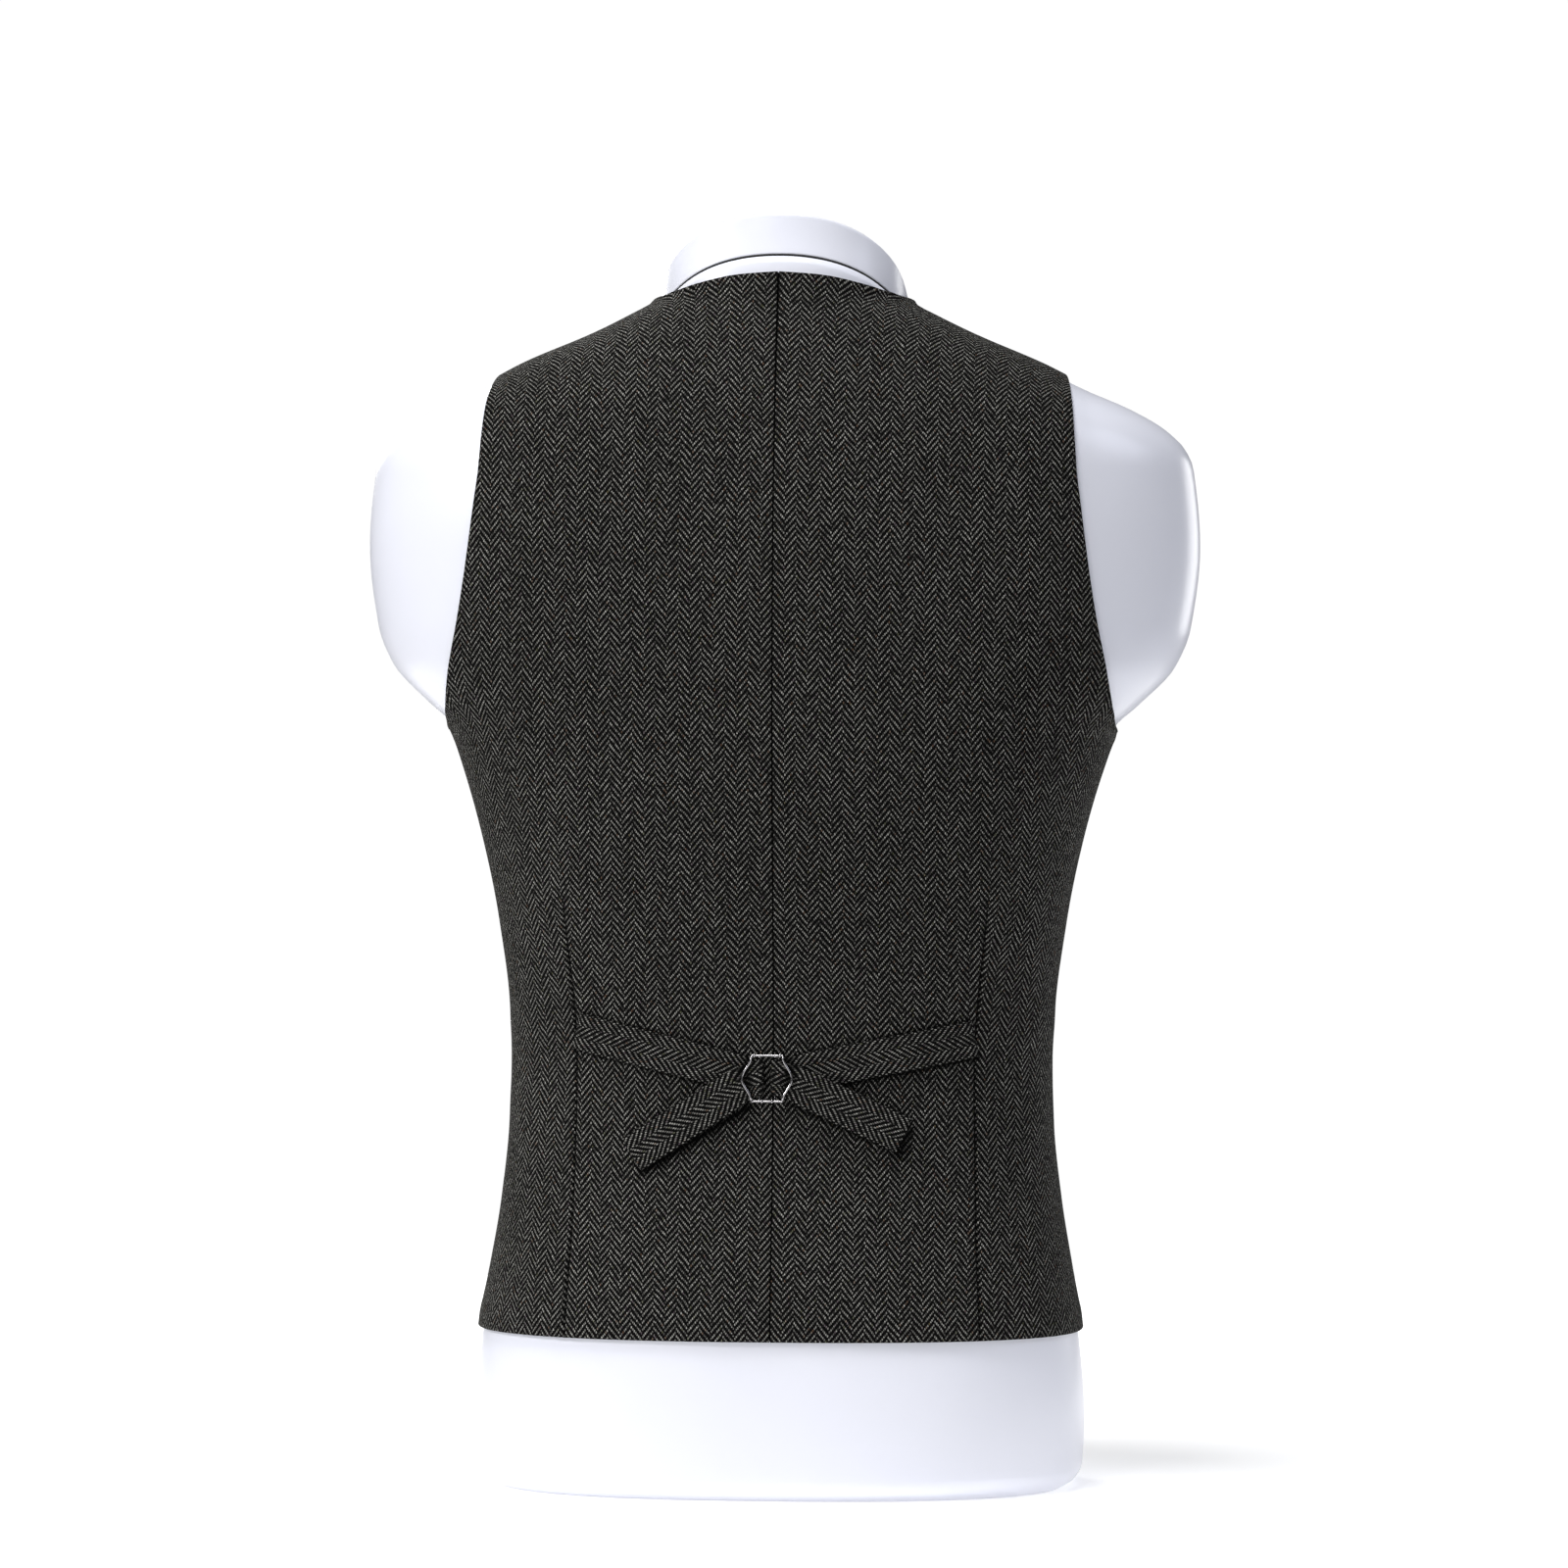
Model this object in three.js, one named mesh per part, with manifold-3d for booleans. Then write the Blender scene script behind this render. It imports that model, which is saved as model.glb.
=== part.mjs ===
// Suit waistcoat with a cinched back, on the plain torso form that it hangs on.
// Millimetres, +Z up. The wearer faces -Y and the wearer's left is +X.
// Every cloth piece is a wall laid over the form: a point of the form's surface
// is found first, and then moved out along its normal by the piece's height.
import * as THREE from 'three';
import { mergeVertices } from 'three/addons/utils/BufferGeometryUtils.js';
import Module from 'manifold-3d';

const wasm = await Module();
wasm.setup();

// Driving sizes in millimetres
const AIR = 1.4; // between the form and the inside of the cloth
const WALL = 1.7; // face cloth, interlining and lining together
const SEAM = 0.3; // width of a seam line
const HEM_BACK = 87; // height of the back hem
const ARM_LOW = 421; // height of the armhole's lowest point
const PIVOT = 560; // above this height the panels turn in over the shoulder
const SIDE_SEAM = 94.5; // degrees round from the centre back
const SHOULDER_SEAM = 93; // degrees up from the back, a little before the ridge
const SHOULDER_TIP = 157; // half width of the cloth's shoulder
const LAP = 16; // how far each front passes the centre front
const LAP_LIFT = 2.4; // the wearer's left front lies over the right one
const BREAK = 430; // height where the front edge turns into the neckline
const BUTTON = { radius: 7.5, thick: 3, hole: 0.95, spread: 1.7, top: 412, pitch: 72, count: 5 };
const JOINT = { gap: 1.2, plate: 0.6 };
const STRAP = { width: 20.5, thick: 1.5, low: 0.7, tail: 4, swing: 4.5 };
const BUCKLE = { x: 3.2, z: 229.4, height: 26.2, wire: 0.6, post: 4.3, bar: 8.5, bow: 13.5 };

// The form at each height: half width, depth at the back and front, how square
// its back and front halves are (2 is an ellipse), and where they meet
const FORM = {
  columns: ['z', 'half', 'back', 'front', 'squareBack', 'squareFront', 'mid'],
  rows: [
    [0, 158, 106, -100, 2.5, 2.4, 0],
    [4, 164.5, 112.5, -106.5, 2.5, 2.4, 0],
    [12, 169, 117, -110.5, 2.5, 2.4, 0],
    [38, 170, 118, -112.5, 2.5, 2.4, 0],
    [87, 166, 115, -111.5, 2.5, 2.4, 0],
    [120, 160.2, 108.8, -110, 2.45, 2.4, 0],
    [159, 153.8, 99.5, -107, 2.4, 2.35, 0],
    [200, 149.4, 91.5, -105.3, 2.4, 2.3, 0],
    [236, 148.4, 89, -105, 2.4, 2.3, 0],
    [269, 149.6, 91, -106, 2.4, 2.3, -0.7],
    [313, 155.4, 99, -110.5, 2.4, 2.35, -1.2],
    [357, 164.5, 109, -118, 2.5, 2.4, -1.6],
    [401, 176.6, 116, -125, 2.6, 2.45, -2],
    [423, 185.5, 118.4, -126.6, 2.55, 2.4, -1.4],
    [434, 197.5, 119, -127, 2.45, 2.3, -1],
    [456, 218.6, 120.3, -126.6, 2.27, 2.2, 0],
    [478, 227.4, 120.5, -124.5, 2.18, 2.12, 1],
    [522, 232.4, 118.5, -115.5, 2.12, 2.08, 3.5],
    [566, 228.5, 112, -99, 2.12, 2.08, 6],
    [577, 223.9, 109, -93.7, 2.14, 2.1, 6.7],
    [588, 212.6, 106, -88, 2.17, 2.12, 7.3],
    [599, 193.6, 102.5, -79, 2.2, 2.1, 8],
    [610, 168, 98.3, -66, 2.2, 2.15, 8.5],
    [622, 143.8, 93.5, -51, 2.2, 2.2, 9],
    [635.3, 112.2, 87, -46, 2.2, 2.2, 9.7],
    [648.5, 83.6, 80.5, -44, 2.15, 2.15, 10.3],
    [655.1, 72, 77.6, -43.4, 2.1, 2.1, 10.6],
    [660, 69.2, 76, -43, 2.1, 2.1, 10.8],
    [672, 68, 72.5, -42.4, 2.1, 2.1, 11],
    [690, 66, 68, -42, 2.1, 2.1, 11],
    [712, 64, 64.5, -42, 2.1, 2.1, 11],
  ],
};

// Side views of the joint under the form's neck piece and of the neck's top
const NECK_JOINT = {
  columns: ['y', 'z'],
  rows: [[-100, 587], [-62, 606], [-25, 624], [11, 642], [44, 661], [69.5, 680.2], [100, 703]],
};
const NECK_TOP = {
  columns: ['y', 'z'],
  rows: [[-80, 628], [-45, 633], [-20, 643], [11, 662], [38.5, 684], [66, 705.5], [80, 716]],
};

// Garment lines: armhole edges, back neck, darts, neckline and front hem
const ARM_BACK = {
  columns: ['z', 'x'],
  rows: [[434, 184.6], [456, 180.6], [478, 176], [500, 172.3], [522, 169.2], [544, 166.4],
    [560, 164.3], [600, 160]],
};
const ARM_FRONT = {
  columns: ['z', 'x'],
  rows: [[434, 177], [450, 168], [480, 156], [520, 148], [560, 146], [600, 150]],
};
const NECK_BACK = {
  columns: ['angle', 'z'],
  rows: [[0, 672], [18, 670.6], [38, 667.2], [60, 663.5], [95, 659.5]],
};
const DART_BACK = {
  columns: ['z', 'x'],
  rows: [[20, 115], [87, 113.5], [160, 110.5], [235, 109.5], [335, 117], [430, 121], [570, 112]],
};
const DART_FRONT = {
  columns: ['z', 'x'],
  rows: [[20, 84], [75, 84], [235, 78], [370, 82], [430, 86], [570, 92]],
};
const NECKLINE = {
  columns: ['z', 'x'],
  rows: [[30, -LAP], [BREAK - 8, -LAP], [BREAK + 10, -13], [500, 10], [570, 37]],
};
const HEM_FRONT = {
  columns: ['x', 'z'],
  rows: [[-20, 84], [0, 66], [18, 51], [36, 39.5], [46, 38.5], [70, 45], [110, 60], [145, 77],
    [168, HEM_BACK]],
};

/** Smooth curve through a table's rows that never overshoots between them. */
function curve(table, columnName) {
  const column = table.columns.indexOf(columnName);
  const xs = table.rows.map((row) => row[0]);
  const ys = table.rows.map((row) => row[column]);
  const last = xs.length - 1;
  const steps = xs.slice(1).map((x, k) => (ys[k + 1] - ys[k]) / (x - xs[k]));
  const slopes = xs.map((_, k) => {
    if (k === 0) {
      return steps[0];
    }
    if (k === last) {
      return steps[last - 1];
    }
    const product = steps[k - 1] * steps[k];
    return product <= 0 ? 0 : (2 * product) / (steps[k - 1] + steps[k]);
  });
  return (x) => {
    const clamped = Math.min(Math.max(x, xs[0]), xs[last]);
    let k = 0;
    while (k < last - 1 && clamped > xs[k + 1]) {
      k += 1;
    }
    const width = xs[k + 1] - xs[k];
    const t = (clamped - xs[k]) / width;
    const a = ys[k] * (1 + 2 * t) * (1 - t) ** 2 + slopes[k] * width * t * (1 - t) ** 2;
    const b = ys[k + 1] * t * t * (3 - 2 * t) - slopes[k + 1] * width * t * t * (1 - t);
    return a + b;
  };
}

const half = curve(FORM, 'half');
const backY = curve(FORM, 'back');
const frontY = curve(FORM, 'front');
const squareBack = curve(FORM, 'squareBack');
const squareFront = curve(FORM, 'squareFront');
const mid = curve(FORM, 'mid');
const neckJoint = curve(NECK_JOINT, 'z');
const neckTop = curve(NECK_TOP, 'z');
const neckBack = curve(NECK_BACK, 'z');
const armBack = curve(ARM_BACK, 'x');
const armFront = curve(ARM_FRONT, 'x');
const dartBack = curve(DART_BACK, 'x');
const dartFront = curve(DART_FRONT, 'x');
const neckline = curve(NECKLINE, 'x');
const hemFront = curve(HEM_FRONT, 'z');

/** Value found by halving, for a test that turns false once as it rises. */
function halving(low, high, below) {
  let a = low;
  let b = high;
  for (let k = 0; k < 44; k += 1) {
    const m = (a + b) / 2;
    if (below(m)) {
      a = m;
    } else {
      b = m;
    }
  }
  return (a + b) / 2;
}

/** Even step from 0 to 1, soft at both ends. */
function soft(t) {
  const c = Math.min(Math.max(t, 0), 1);
  return c * c * (3 - 2 * c);
}

/** Point of the form's ring at height z, at an angle round from centre back. */
function ringPoint(z, degrees) {
  const angle = THREE.MathUtils.degToRad(degrees);
  const s = Math.sin(angle);
  const c = Math.cos(angle);
  const square = c >= 0 ? squareBack(z) : squareFront(z);
  const depth = c >= 0 ? backY(z) - mid(z) : mid(z) - frontY(z);
  return new THREE.Vector3(
    half(z) * Math.sign(s) * Math.abs(s) ** (2 / square),
    mid(z) + depth * Math.sign(c) * Math.abs(c) ** (2 / square),
    z,
  );
}

/** Below zero inside the form, above zero outside it. */
function formField(x, y, z) {
  const back = y >= mid(z);
  const square = back ? squareBack(z) : squareFront(z);
  const depth = back ? backY(z) - mid(z) : mid(z) - frontY(z);
  return (Math.abs(x) / half(z)) ** square + (Math.abs(y - mid(z)) / depth) ** square - 1;
}

/** Outward normal of the form at a surface point. */
function normalAt(p) {
  const h = 0.6;
  return new THREE.Vector3(
    formField(p.x + h, p.y, p.z) - formField(p.x - h, p.y, p.z),
    formField(p.x, p.y + h, p.z) - formField(p.x, p.y - h, p.z),
    formField(p.x, p.y, p.z + h) - formField(p.x, p.y, p.z - h),
  ).normalize();
}

/** Surface point over the place x, on a ray turned up from the pivot height. */
function rayPoint(x, degrees) {
  const angle = THREE.MathUtils.degToRad(degrees);
  const c = Math.cos(angle);
  const s = Math.sin(angle);
  const y0 = mid(PIVOT);
  const r = halving(0, 200, (m) => formField(x, y0 + m * c, PIVOT + m * s) < 0);
  return new THREE.Vector3(x, y0 + r * c, PIVOT + r * s);
}

/** Angle round the ring at height z where cloth of that height stands over x. */
function angleAt(z, x, from, to, height = AIR + WALL) {
  const rising = to > from && to <= 91;
  return halving(from, to, (m) => {
    const p = ringPoint(z, m);
    const reach = p.x + normalAt(p).x * height;
    return rising ? reach < x : reach > x;
  });
}

/** Points evenly measured along the ring at height z between two angles. */
function arc(z, from, to, fractions) {
  const count = 90;
  const lengths = [0];
  let before = ringPoint(z, from);
  for (let k = 1; k <= count; k += 1) {
    const now = ringPoint(z, from + ((to - from) * k) / count);
    lengths.push(lengths[k - 1] + now.distanceTo(before));
    before = now;
  }
  const width = lengths[count];
  const points = fractions(width).map((fraction) => {
    const target = Math.min(Math.max(fraction, 0), 1) * width;
    let k = 0;
    while (k < count - 1 && lengths[k + 1] < target) {
      k += 1;
    }
    const t = (target - lengths[k]) / (lengths[k + 1] - lengths[k]);
    return ringPoint(z, from + ((to - from) * (k + t)) / count);
  });
  return { points, width };
}

/** Geometry with plain indexed points, its faces turned outward. */
function solidFrom(points, faces) {
  let sum = 0;
  faces.forEach(([i, j, k]) => {
    sum += points[i].dot(points[j].clone().cross(points[k]));
  });
  const index = [];
  faces.forEach(([i, j, k]) => index.push(i, ...(sum < 0 ? [k, j] : [j, k])));
  const geometry = new THREE.BufferGeometry().setFromPoints(points);
  geometry.setIndex(index);
  return geometry;
}

/** Closed body through rings of equal count, with a point at each end. */
function loft(rings, start, end) {
  const count = rings[0].length;
  const points = [...rings.flat(), start, end];
  const first = points.length - 2;
  const faces = [];
  const size = (ring) => ring.reduce((sum, p) => sum + Math.hypot(p.x, p.y), 0);
  rings.slice(1).forEach((ring, r) => {
    const narrowing = size(ring) < size(rings[r]);
    for (let c = 0; c < count; c += 1) {
      const d = (c + 1) % count;
      const low = r * count;
      const high = low + count;
      if (narrowing === (c < count / 2)) {
        faces.push([low + c, low + d, high + d], [low + c, high + d, high + c]);
      } else {
        faces.push([low + c, low + d, high + c], [low + d, high + d, high + c]);
      }
    }
  });
  const top = (rings.length - 1) * count;
  for (let c = 0; c < count; c += 1) {
    const d = (c + 1) % count;
    faces.push([first, d, c], [first + 1, top + c, top + d]);
  }
  return solidFrom(points, faces);
}

/** Closed wall between an outer and an inner grid of points. */
function wall(outer, inner) {
  const rows = outer.length;
  const columns = outer[0].length;
  const points = [...outer.flat(), ...inner.flat()];
  const at = (layer, r, c) => (layer * rows + r) * columns + c;
  const faces = [];
  const quad = (a, b, c, d) => faces.push([a, b, c], [a, c, d]);
  for (let r = 0; r < rows - 1; r += 1) {
    for (let c = 0; c < columns - 1; c += 1) {
      quad(at(0, r, c), at(0, r, c + 1), at(0, r + 1, c + 1), at(0, r + 1, c));
      quad(at(1, r, c), at(1, r + 1, c), at(1, r + 1, c + 1), at(1, r, c + 1));
    }
    const e = columns - 1;
    quad(at(0, r, 0), at(0, r + 1, 0), at(1, r + 1, 0), at(1, r, 0));
    quad(at(0, r, e), at(1, r, e), at(1, r + 1, e), at(0, r + 1, e));
  }
  for (let c = 0; c < columns - 1; c += 1) {
    const e = rows - 1;
    quad(at(0, 0, c), at(1, 0, c), at(1, 0, c + 1), at(0, 0, c + 1));
    quad(at(0, e, c), at(0, e, c + 1), at(1, e, c + 1), at(1, e, c));
  }
  return solidFrom(points, faces);
}

/** Round wire along points, closed on itself or capped at both ends. */
function wire(path, radius, closed) {
  const sides = 6;
  const rings = path.map((p, k) => {
    const before = path[closed ? (k + path.length - 1) % path.length : Math.max(k - 1, 0)];
    const after = path[closed ? (k + 1) % path.length : Math.min(k + 1, path.length - 1)];
    const along = after.clone().sub(before).normalize();
    const across = new THREE.Vector3(0, 1, 0).cross(along).normalize();
    const up = along.clone().cross(across);
    return Array.from({ length: sides }, (_, s) => {
      const turn = (s / sides) * Math.PI * 2;
      return p.clone()
        .addScaledVector(across, radius * Math.cos(turn))
        .addScaledVector(up, radius * Math.sin(turn));
    });
  });
  if (!closed) {
    return loft(rings, path[0].clone(), path[path.length - 1].clone());
  }
  const faces = [];
  rings.forEach((_, r) => {
    for (let s = 0; s < sides; s += 1) {
      const t = (s + 1) % sides;
      const low = r * sides;
      const high = ((r + 1) % rings.length) * sides;
      faces.push([low + s, low + t, high + t], [low + s, high + t, high + s]);
    }
  });
  return solidFrom(rings.flat(), faces);
}

/** Body that can be cut and joined, from a closed geometry. */
function toBody(geometry) {
  const plain = geometry.clone();
  plain.deleteAttribute('normal');
  plain.deleteAttribute('uv');
  const merged = mergeVertices(plain, 1e-4);
  return new wasm.Manifold(new wasm.Mesh({
    numProp: 3,
    vertProperties: new Float32Array(merged.getAttribute('position').array),
    triVerts: new Uint32Array(merged.getIndex().array),
  }));
}

/** Geometry of such a body. */
function fromBody(body) {
  const mesh = body.getMesh();
  const geometry = new THREE.BufferGeometry();
  geometry.setAttribute('position', new THREE.Float32BufferAttribute(mesh.vertProperties, 3));
  geometry.setIndex(Array.from(mesh.triVerts));
  return geometry;
}

// The torso form: its torso, the neck piece and the dark plate between them

const RING_STEPS = 44;
const TORSO_HEIGHTS = [0, 3, 8, 16, 45, 80, 110, 140, 170, 200, 230, 260, 292, 325, 360, 390, 410,
  421, 427, 433, 440, 449, 460, 478, 505, 535, 560, 577, 588];

/** Angles of evenly spaced columns round the form at height z. */
function evenAngles(z) {
  const count = 720;
  const lengths = [0];
  for (let k = 1; k <= count; k += 1) {
    const step = ringPoint(z, k / 2).distanceTo(ringPoint(z, (k - 1) / 2));
    lengths.push(lengths[k - 1] + step);
  }
  return Array.from({ length: RING_STEPS }, (_, c) => {
    const target = (c / RING_STEPS) * lengths[count];
    return lengths.findIndex((length) => length >= target) / 2;
  });
}

/** Ring of the form where its surface meets a slanting cut, moved up by rise. */
function slantRing(angles, cut, rise) {
  return angles.map((angle) => {
    const z = halving(570, 711, (m) => m < cut(ringPoint(m, angle).y) + rise);
    return ringPoint(z, angle);
  });
}

/** Ring drawn in towards the neck's middle, lying on a slanting cut. */
function drawIn(ring, scale, cut, rise) {
  return ring.map((p) => {
    const y = 11 + (p.y - 11) * scale;
    return new THREE.Vector3(p.x * scale, y, cut(y) + rise);
  });
}

/** Torso, neck piece and joint plate, each a closed body. */
function formPieces() {
  const gap = JOINT.gap / 2;
  const plate = JOINT.plate / 2;
  const middle = (rise, cut) => new THREE.Vector3(0, 11, cut(11) + rise);
  const angles = evenAngles(588);
  const rings = TORSO_HEIGHTS.map((z) => {
    const own = z < 560 ? evenAngles(z) : angles;
    return own.map((angle) => ringPoint(z, angle));
  });
  const low = slantRing(angles, neckJoint, -gap);
  const between = (t) => angles.map((angle, c) => {
    return ringPoint(THREE.MathUtils.lerp(588, low[c].z, t), angle);
  });
  const torso = loft(
    [...rings, between(0.2), between(0.4), between(0.6), between(0.8), between(0.92), low,
      drawIn(low, 0.62, neckJoint, -gap), drawIn(low, 0.3, neckJoint, -gap)],
    new THREE.Vector3(0, 0, 0),
    middle(-gap, neckJoint),
  );
  const high = slantRing(angles, neckJoint, gap);
  const rim = slantRing(angles, neckTop, -3.2);
  const upTo = (t) => angles.map((angle, c) => {
    return ringPoint(THREE.MathUtils.lerp(high[c].z, rim[c].z, t), angle);
  });
  const neck = loft(
    [drawIn(high, 0.3, neckJoint, gap), drawIn(high, 0.62, neckJoint, gap), high, upTo(0.12),
      upTo(0.26), upTo(0.42), upTo(0.68), rim, drawIn(rim, 0.985, neckTop, -1), drawIn(rim, 0.95, neckTop, 0),
      drawIn(rim, 0.5, neckTop, 0)],
    middle(gap, neckJoint),
    middle(0, neckTop),
  );
  const under = [low, drawIn(low, 0.62, neckJoint, -gap), drawIn(low, 0.3, neckJoint, -gap)];
  const edge = low.map((p, c) => p.clone().lerp(under[1][c], 0.055));
  const raised = (ring, rise) => ring.map((p) => p.clone().setZ(p.z + rise));
  const lower = gap - plate;
  const upper = gap + plate;
  const slab = loft(
    [raised(under[2], lower), raised(under[1], lower), raised(edge, lower),
      raised(edge, upper), raised(under[1], upper), raised(under[2], upper)],
    middle(-plate, neckJoint),
    middle(plate, neckJoint),
  );
  return { torso, neck, slab };
}

// The cloth panels, made for the wearer's left and mirrored for the right

/** Fractions along a row, with three close columns that follow the dart. */
function dartColumns(dart, width, before, after) {
  const gap = 2.4 / width;
  const inner = Array.from({ length: before }, (_, k) => ((dart - gap) * k) / (before - 1));
  const outer = Array.from({ length: after }, (_, k) => {
    return dart + gap + ((1 - dart - gap) * k) / (after - 1);
  });
  return [...inner, dart, ...outer];
}

/** Start and end angle of a panel's row at height z. */
function rowEnds(z, side) {
  const seam = THREE.MathUtils.radToDeg(SEAM / 2 / (0.7 * half(z)));
  const open = 13;
  const t = Math.sqrt(Math.min(Math.max((z - ARM_LOW) / open, 0), 1));
  const low = Math.max(z, ARM_LOW + open);
  if (side === 'back') {
    const edge = angleAt(low, armBack(low), 0, 90);
    const end = z <= ARM_LOW ? SIDE_SEAM - seam : THREE.MathUtils.lerp(SIDE_SEAM - seam, edge, t);
    return [angleAt(z, SEAM / 2, 0, 90), end];
  }
  const edge = angleAt(low, armFront(low), 90, 180);
  const end = z <= ARM_LOW ? SIDE_SEAM + seam : THREE.MathUtils.lerp(SIDE_SEAM + seam, edge, t);
  return [angleAt(z, neckline(z), 92, 250), end];
}

/** Point and dart dip of one column of a panel at height z. */
function panelPoint(z, side, column, counts) {
  const [start, end] = rowEnds(z, side);
  const dartX = side === 'back' ? dartBack(z) : dartFront(z);
  const range = side === 'back' ? [0, 90] : [92, 250];
  const dartAngle = angleAt(z, dartX, ...range);
  let offset = 0;
  const toDart = arc(z, start, dartAngle, () => [1]).width;
  const { points } = arc(z, start, end, (width) => {
    const fractions = dartColumns(toDart / width, width, ...counts);
    offset = fractions[column] * width - toDart;
    return [fractions[column]];
  });
  const top = side === 'back' ? 335 : 370;
  const fade = soft((top - z) / 40);
  const dip = 0.8 * fade * Math.max(0, 1 - Math.abs(offset) / 2);
  return { p: points[0], dip };
}

/** Points of a panel's top edge: round the neck, then along the shoulder. */
function topPoints(side, counts) {
  const total = counts[0] + counts[1] + 1;
  const neckColumns = side === 'back' ? counts[0] - 1 : 0;
  const seam = SHOULDER_SEAM + (side === 'back' ? -0.1 : 0.1);
  const neckZ = neckBack(92);
  const corner = ringPoint(neckZ - 1, 92);
  const shoulderX = (t) => THREE.MathUtils.lerp(corner.x, SHOULDER_TIP - 2, t);
  return Array.from({ length: total }, (_, c) => {
    if (c < neckColumns) {
      const angle = (92 * c) / neckColumns;
      const z = neckBack(angle);
      const p = ringPoint(z - 1.5 * Math.cos(THREE.MathUtils.degToRad(angle)), angle);
      p.x = Math.max(p.x, SEAM / 2);
      return p;
    }
    const t = (c - neckColumns) / (total - 1 - neckColumns);
    return rayPoint(shoulderX(t), seam);
  });
}

/** Rows of surface points of one panel, from its hem to its top edge. */
function panelRows(side) {
  const counts = [7, 6];
  const total = counts[0] + counts[1] + 1;
  const hemAt = (column) => {
    if (side === 'back') {
      return HEM_BACK;
    }
    return hemFront(panelPoint(70, side, column, counts).p.x);
  };
  const low = [0, 0.09, 0.18, 0.27, 0.35, 0.41, 0.47, 0.53, 0.6, 0.69, 0.79, 0.89, 0.96, 1];
  const high = [422, 424, 428, 434, 443, 458, 484, 510, 536, PIVOT];
  const columns = Array.from({ length: total }, (_, c) => {
    const hem = hemAt(c);
    const heights = [...low.map((t) => THREE.MathUtils.lerp(hem, ARM_LOW, t)), ...high];
    return heights.map((z) => panelPoint(z, side, c, counts));
  });
  const rows = columns[0].map((_, r) => columns.map((column) => column[r]));
  const base = rows[rows.length - 1];
  const tops = topPoints(side, counts);
  const y0 = mid(PIVOT);
  const turnSteps = [0.15, 0.3, 0.45, 0.59, 0.72, 0.84, 0.93, 1];
  const angleOf = (p) => THREE.MathUtils.radToDeg(Math.atan2(p.z - PIVOT, p.y - y0));
  turnSteps.forEach((t) => {
    rows.push(base.map(({ p }, c) => {
      if (t === 1) {
        return { p: tops[c], dip: 0 };
      }
      const x = THREE.MathUtils.lerp(p.x, tops[c].x, t);
      const start = side === 'back' ? 0 : 180;
      const angle = THREE.MathUtils.lerp(start, angleOf(tops[c]), t);
      return { p: rayPoint(x, angle), dip: 0 };
    }));
  });
  return rows;
}

/** How far the wearer's left front is lifted to lie over the right one. */
function lapLift(p) {
  return LAP_LIFT * (1 - soft((p.x - 20) / 40)) * (1 - soft((p.z - 480) / 50));
}

/** How far the cloth stands off the hollow between the shoulder and the neck. */
function bridge(p) {
  return 3 * soft((p.z - 616) / 16) * soft((108 - Math.abs(p.x)) / 25);
}

/** One panel as a closed wall; mirrored for the wearer's right side. */
function panel(rows, mirrored, lift) {
  const layer = (height, dips) => rows.map((row) => row.map(({ p, dip }) => {
    const raised = height + lift(p) + bridge(p) - (dips ? dip : 0);
    const q = p.clone().addScaledVector(normalAt(p), raised);
    return mirrored ? new THREE.Vector3(-q.x, q.y, q.z) : q;
  }));
  return wall(layer(AIR + WALL, true), layer(AIR, false));
}

// The cinch: two straps, folded round the posts of a wire buckle

/** Point over the back panel at (x, z) in the back view, at a height above it. */
function overBack(x, z, height) {
  const total = AIR + WALL + height;
  const angle = angleAt(z, Math.abs(x), 0, 90, total);
  const p = ringPoint(z, angle);
  p.addScaledVector(normalAt(p), total);
  return new THREE.Vector3(Math.sign(x) * p.x, p.y, p.z + (z - p.z));
}

/** Stations of a strap's middle line: from the dart, round the post, to its end. */
function strapStations(side, start, tailFrom, tailEnd) {
  const post = new THREE.Vector2(BUCKLE.x + side * BUCKLE.post, BUCKLE.z + 0.4);
  const lowMid = STRAP.low + STRAP.thick / 2;
  const highMid = STRAP.tail + STRAP.thick / 2;
  const stations = [];
  const inward = post.clone().sub(start).normalize();
  const legs = 9;
  for (let k = 0; k < legs; k += 1) {
    const t = k / legs;
    const place = start.clone().lerp(post, t);
    const turn = Math.atan2(inward.y, inward.x * -side) * (1 - soft((t - 0.8) / 0.2));
    stations.push({ place, height: lowMid, pitch: 0, turn });
  }
  const radius = (highMid - lowMid) / 2;
  for (let k = 0; k <= 6; k += 1) {
    const bend = (k / 6) * Math.PI;
    const place = post.clone();
    place.x -= side * radius * Math.sin(bend);
    const height = (lowMid + highMid) / 2 - radius * Math.cos(bend);
    stations.push({ place, height, pitch: bend, turn: 0 });
  }
  const outward = tailEnd.clone().sub(tailFrom).normalize();
  const slope = Math.atan2(-outward.y, outward.x * side);
  const steps = [[0.3, 0.05], [0.64, 0.35], [1, 1]];
  steps.forEach(([t, turned]) => {
    const place = post.clone().lerp(tailFrom, t);
    stations.push({ place, height: highMid, pitch: Math.PI, turn: slope * turned });
  });
  for (let k = 1; k <= 7; k += 1) {
    const t = k / 7;
    const place = tailFrom.clone().lerp(tailEnd, t);
    const height = highMid + STRAP.swing * t ** 1.4;
    stations.push({ place, height, pitch: Math.PI, turn: slope });
  }
  return stations;
}

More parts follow.
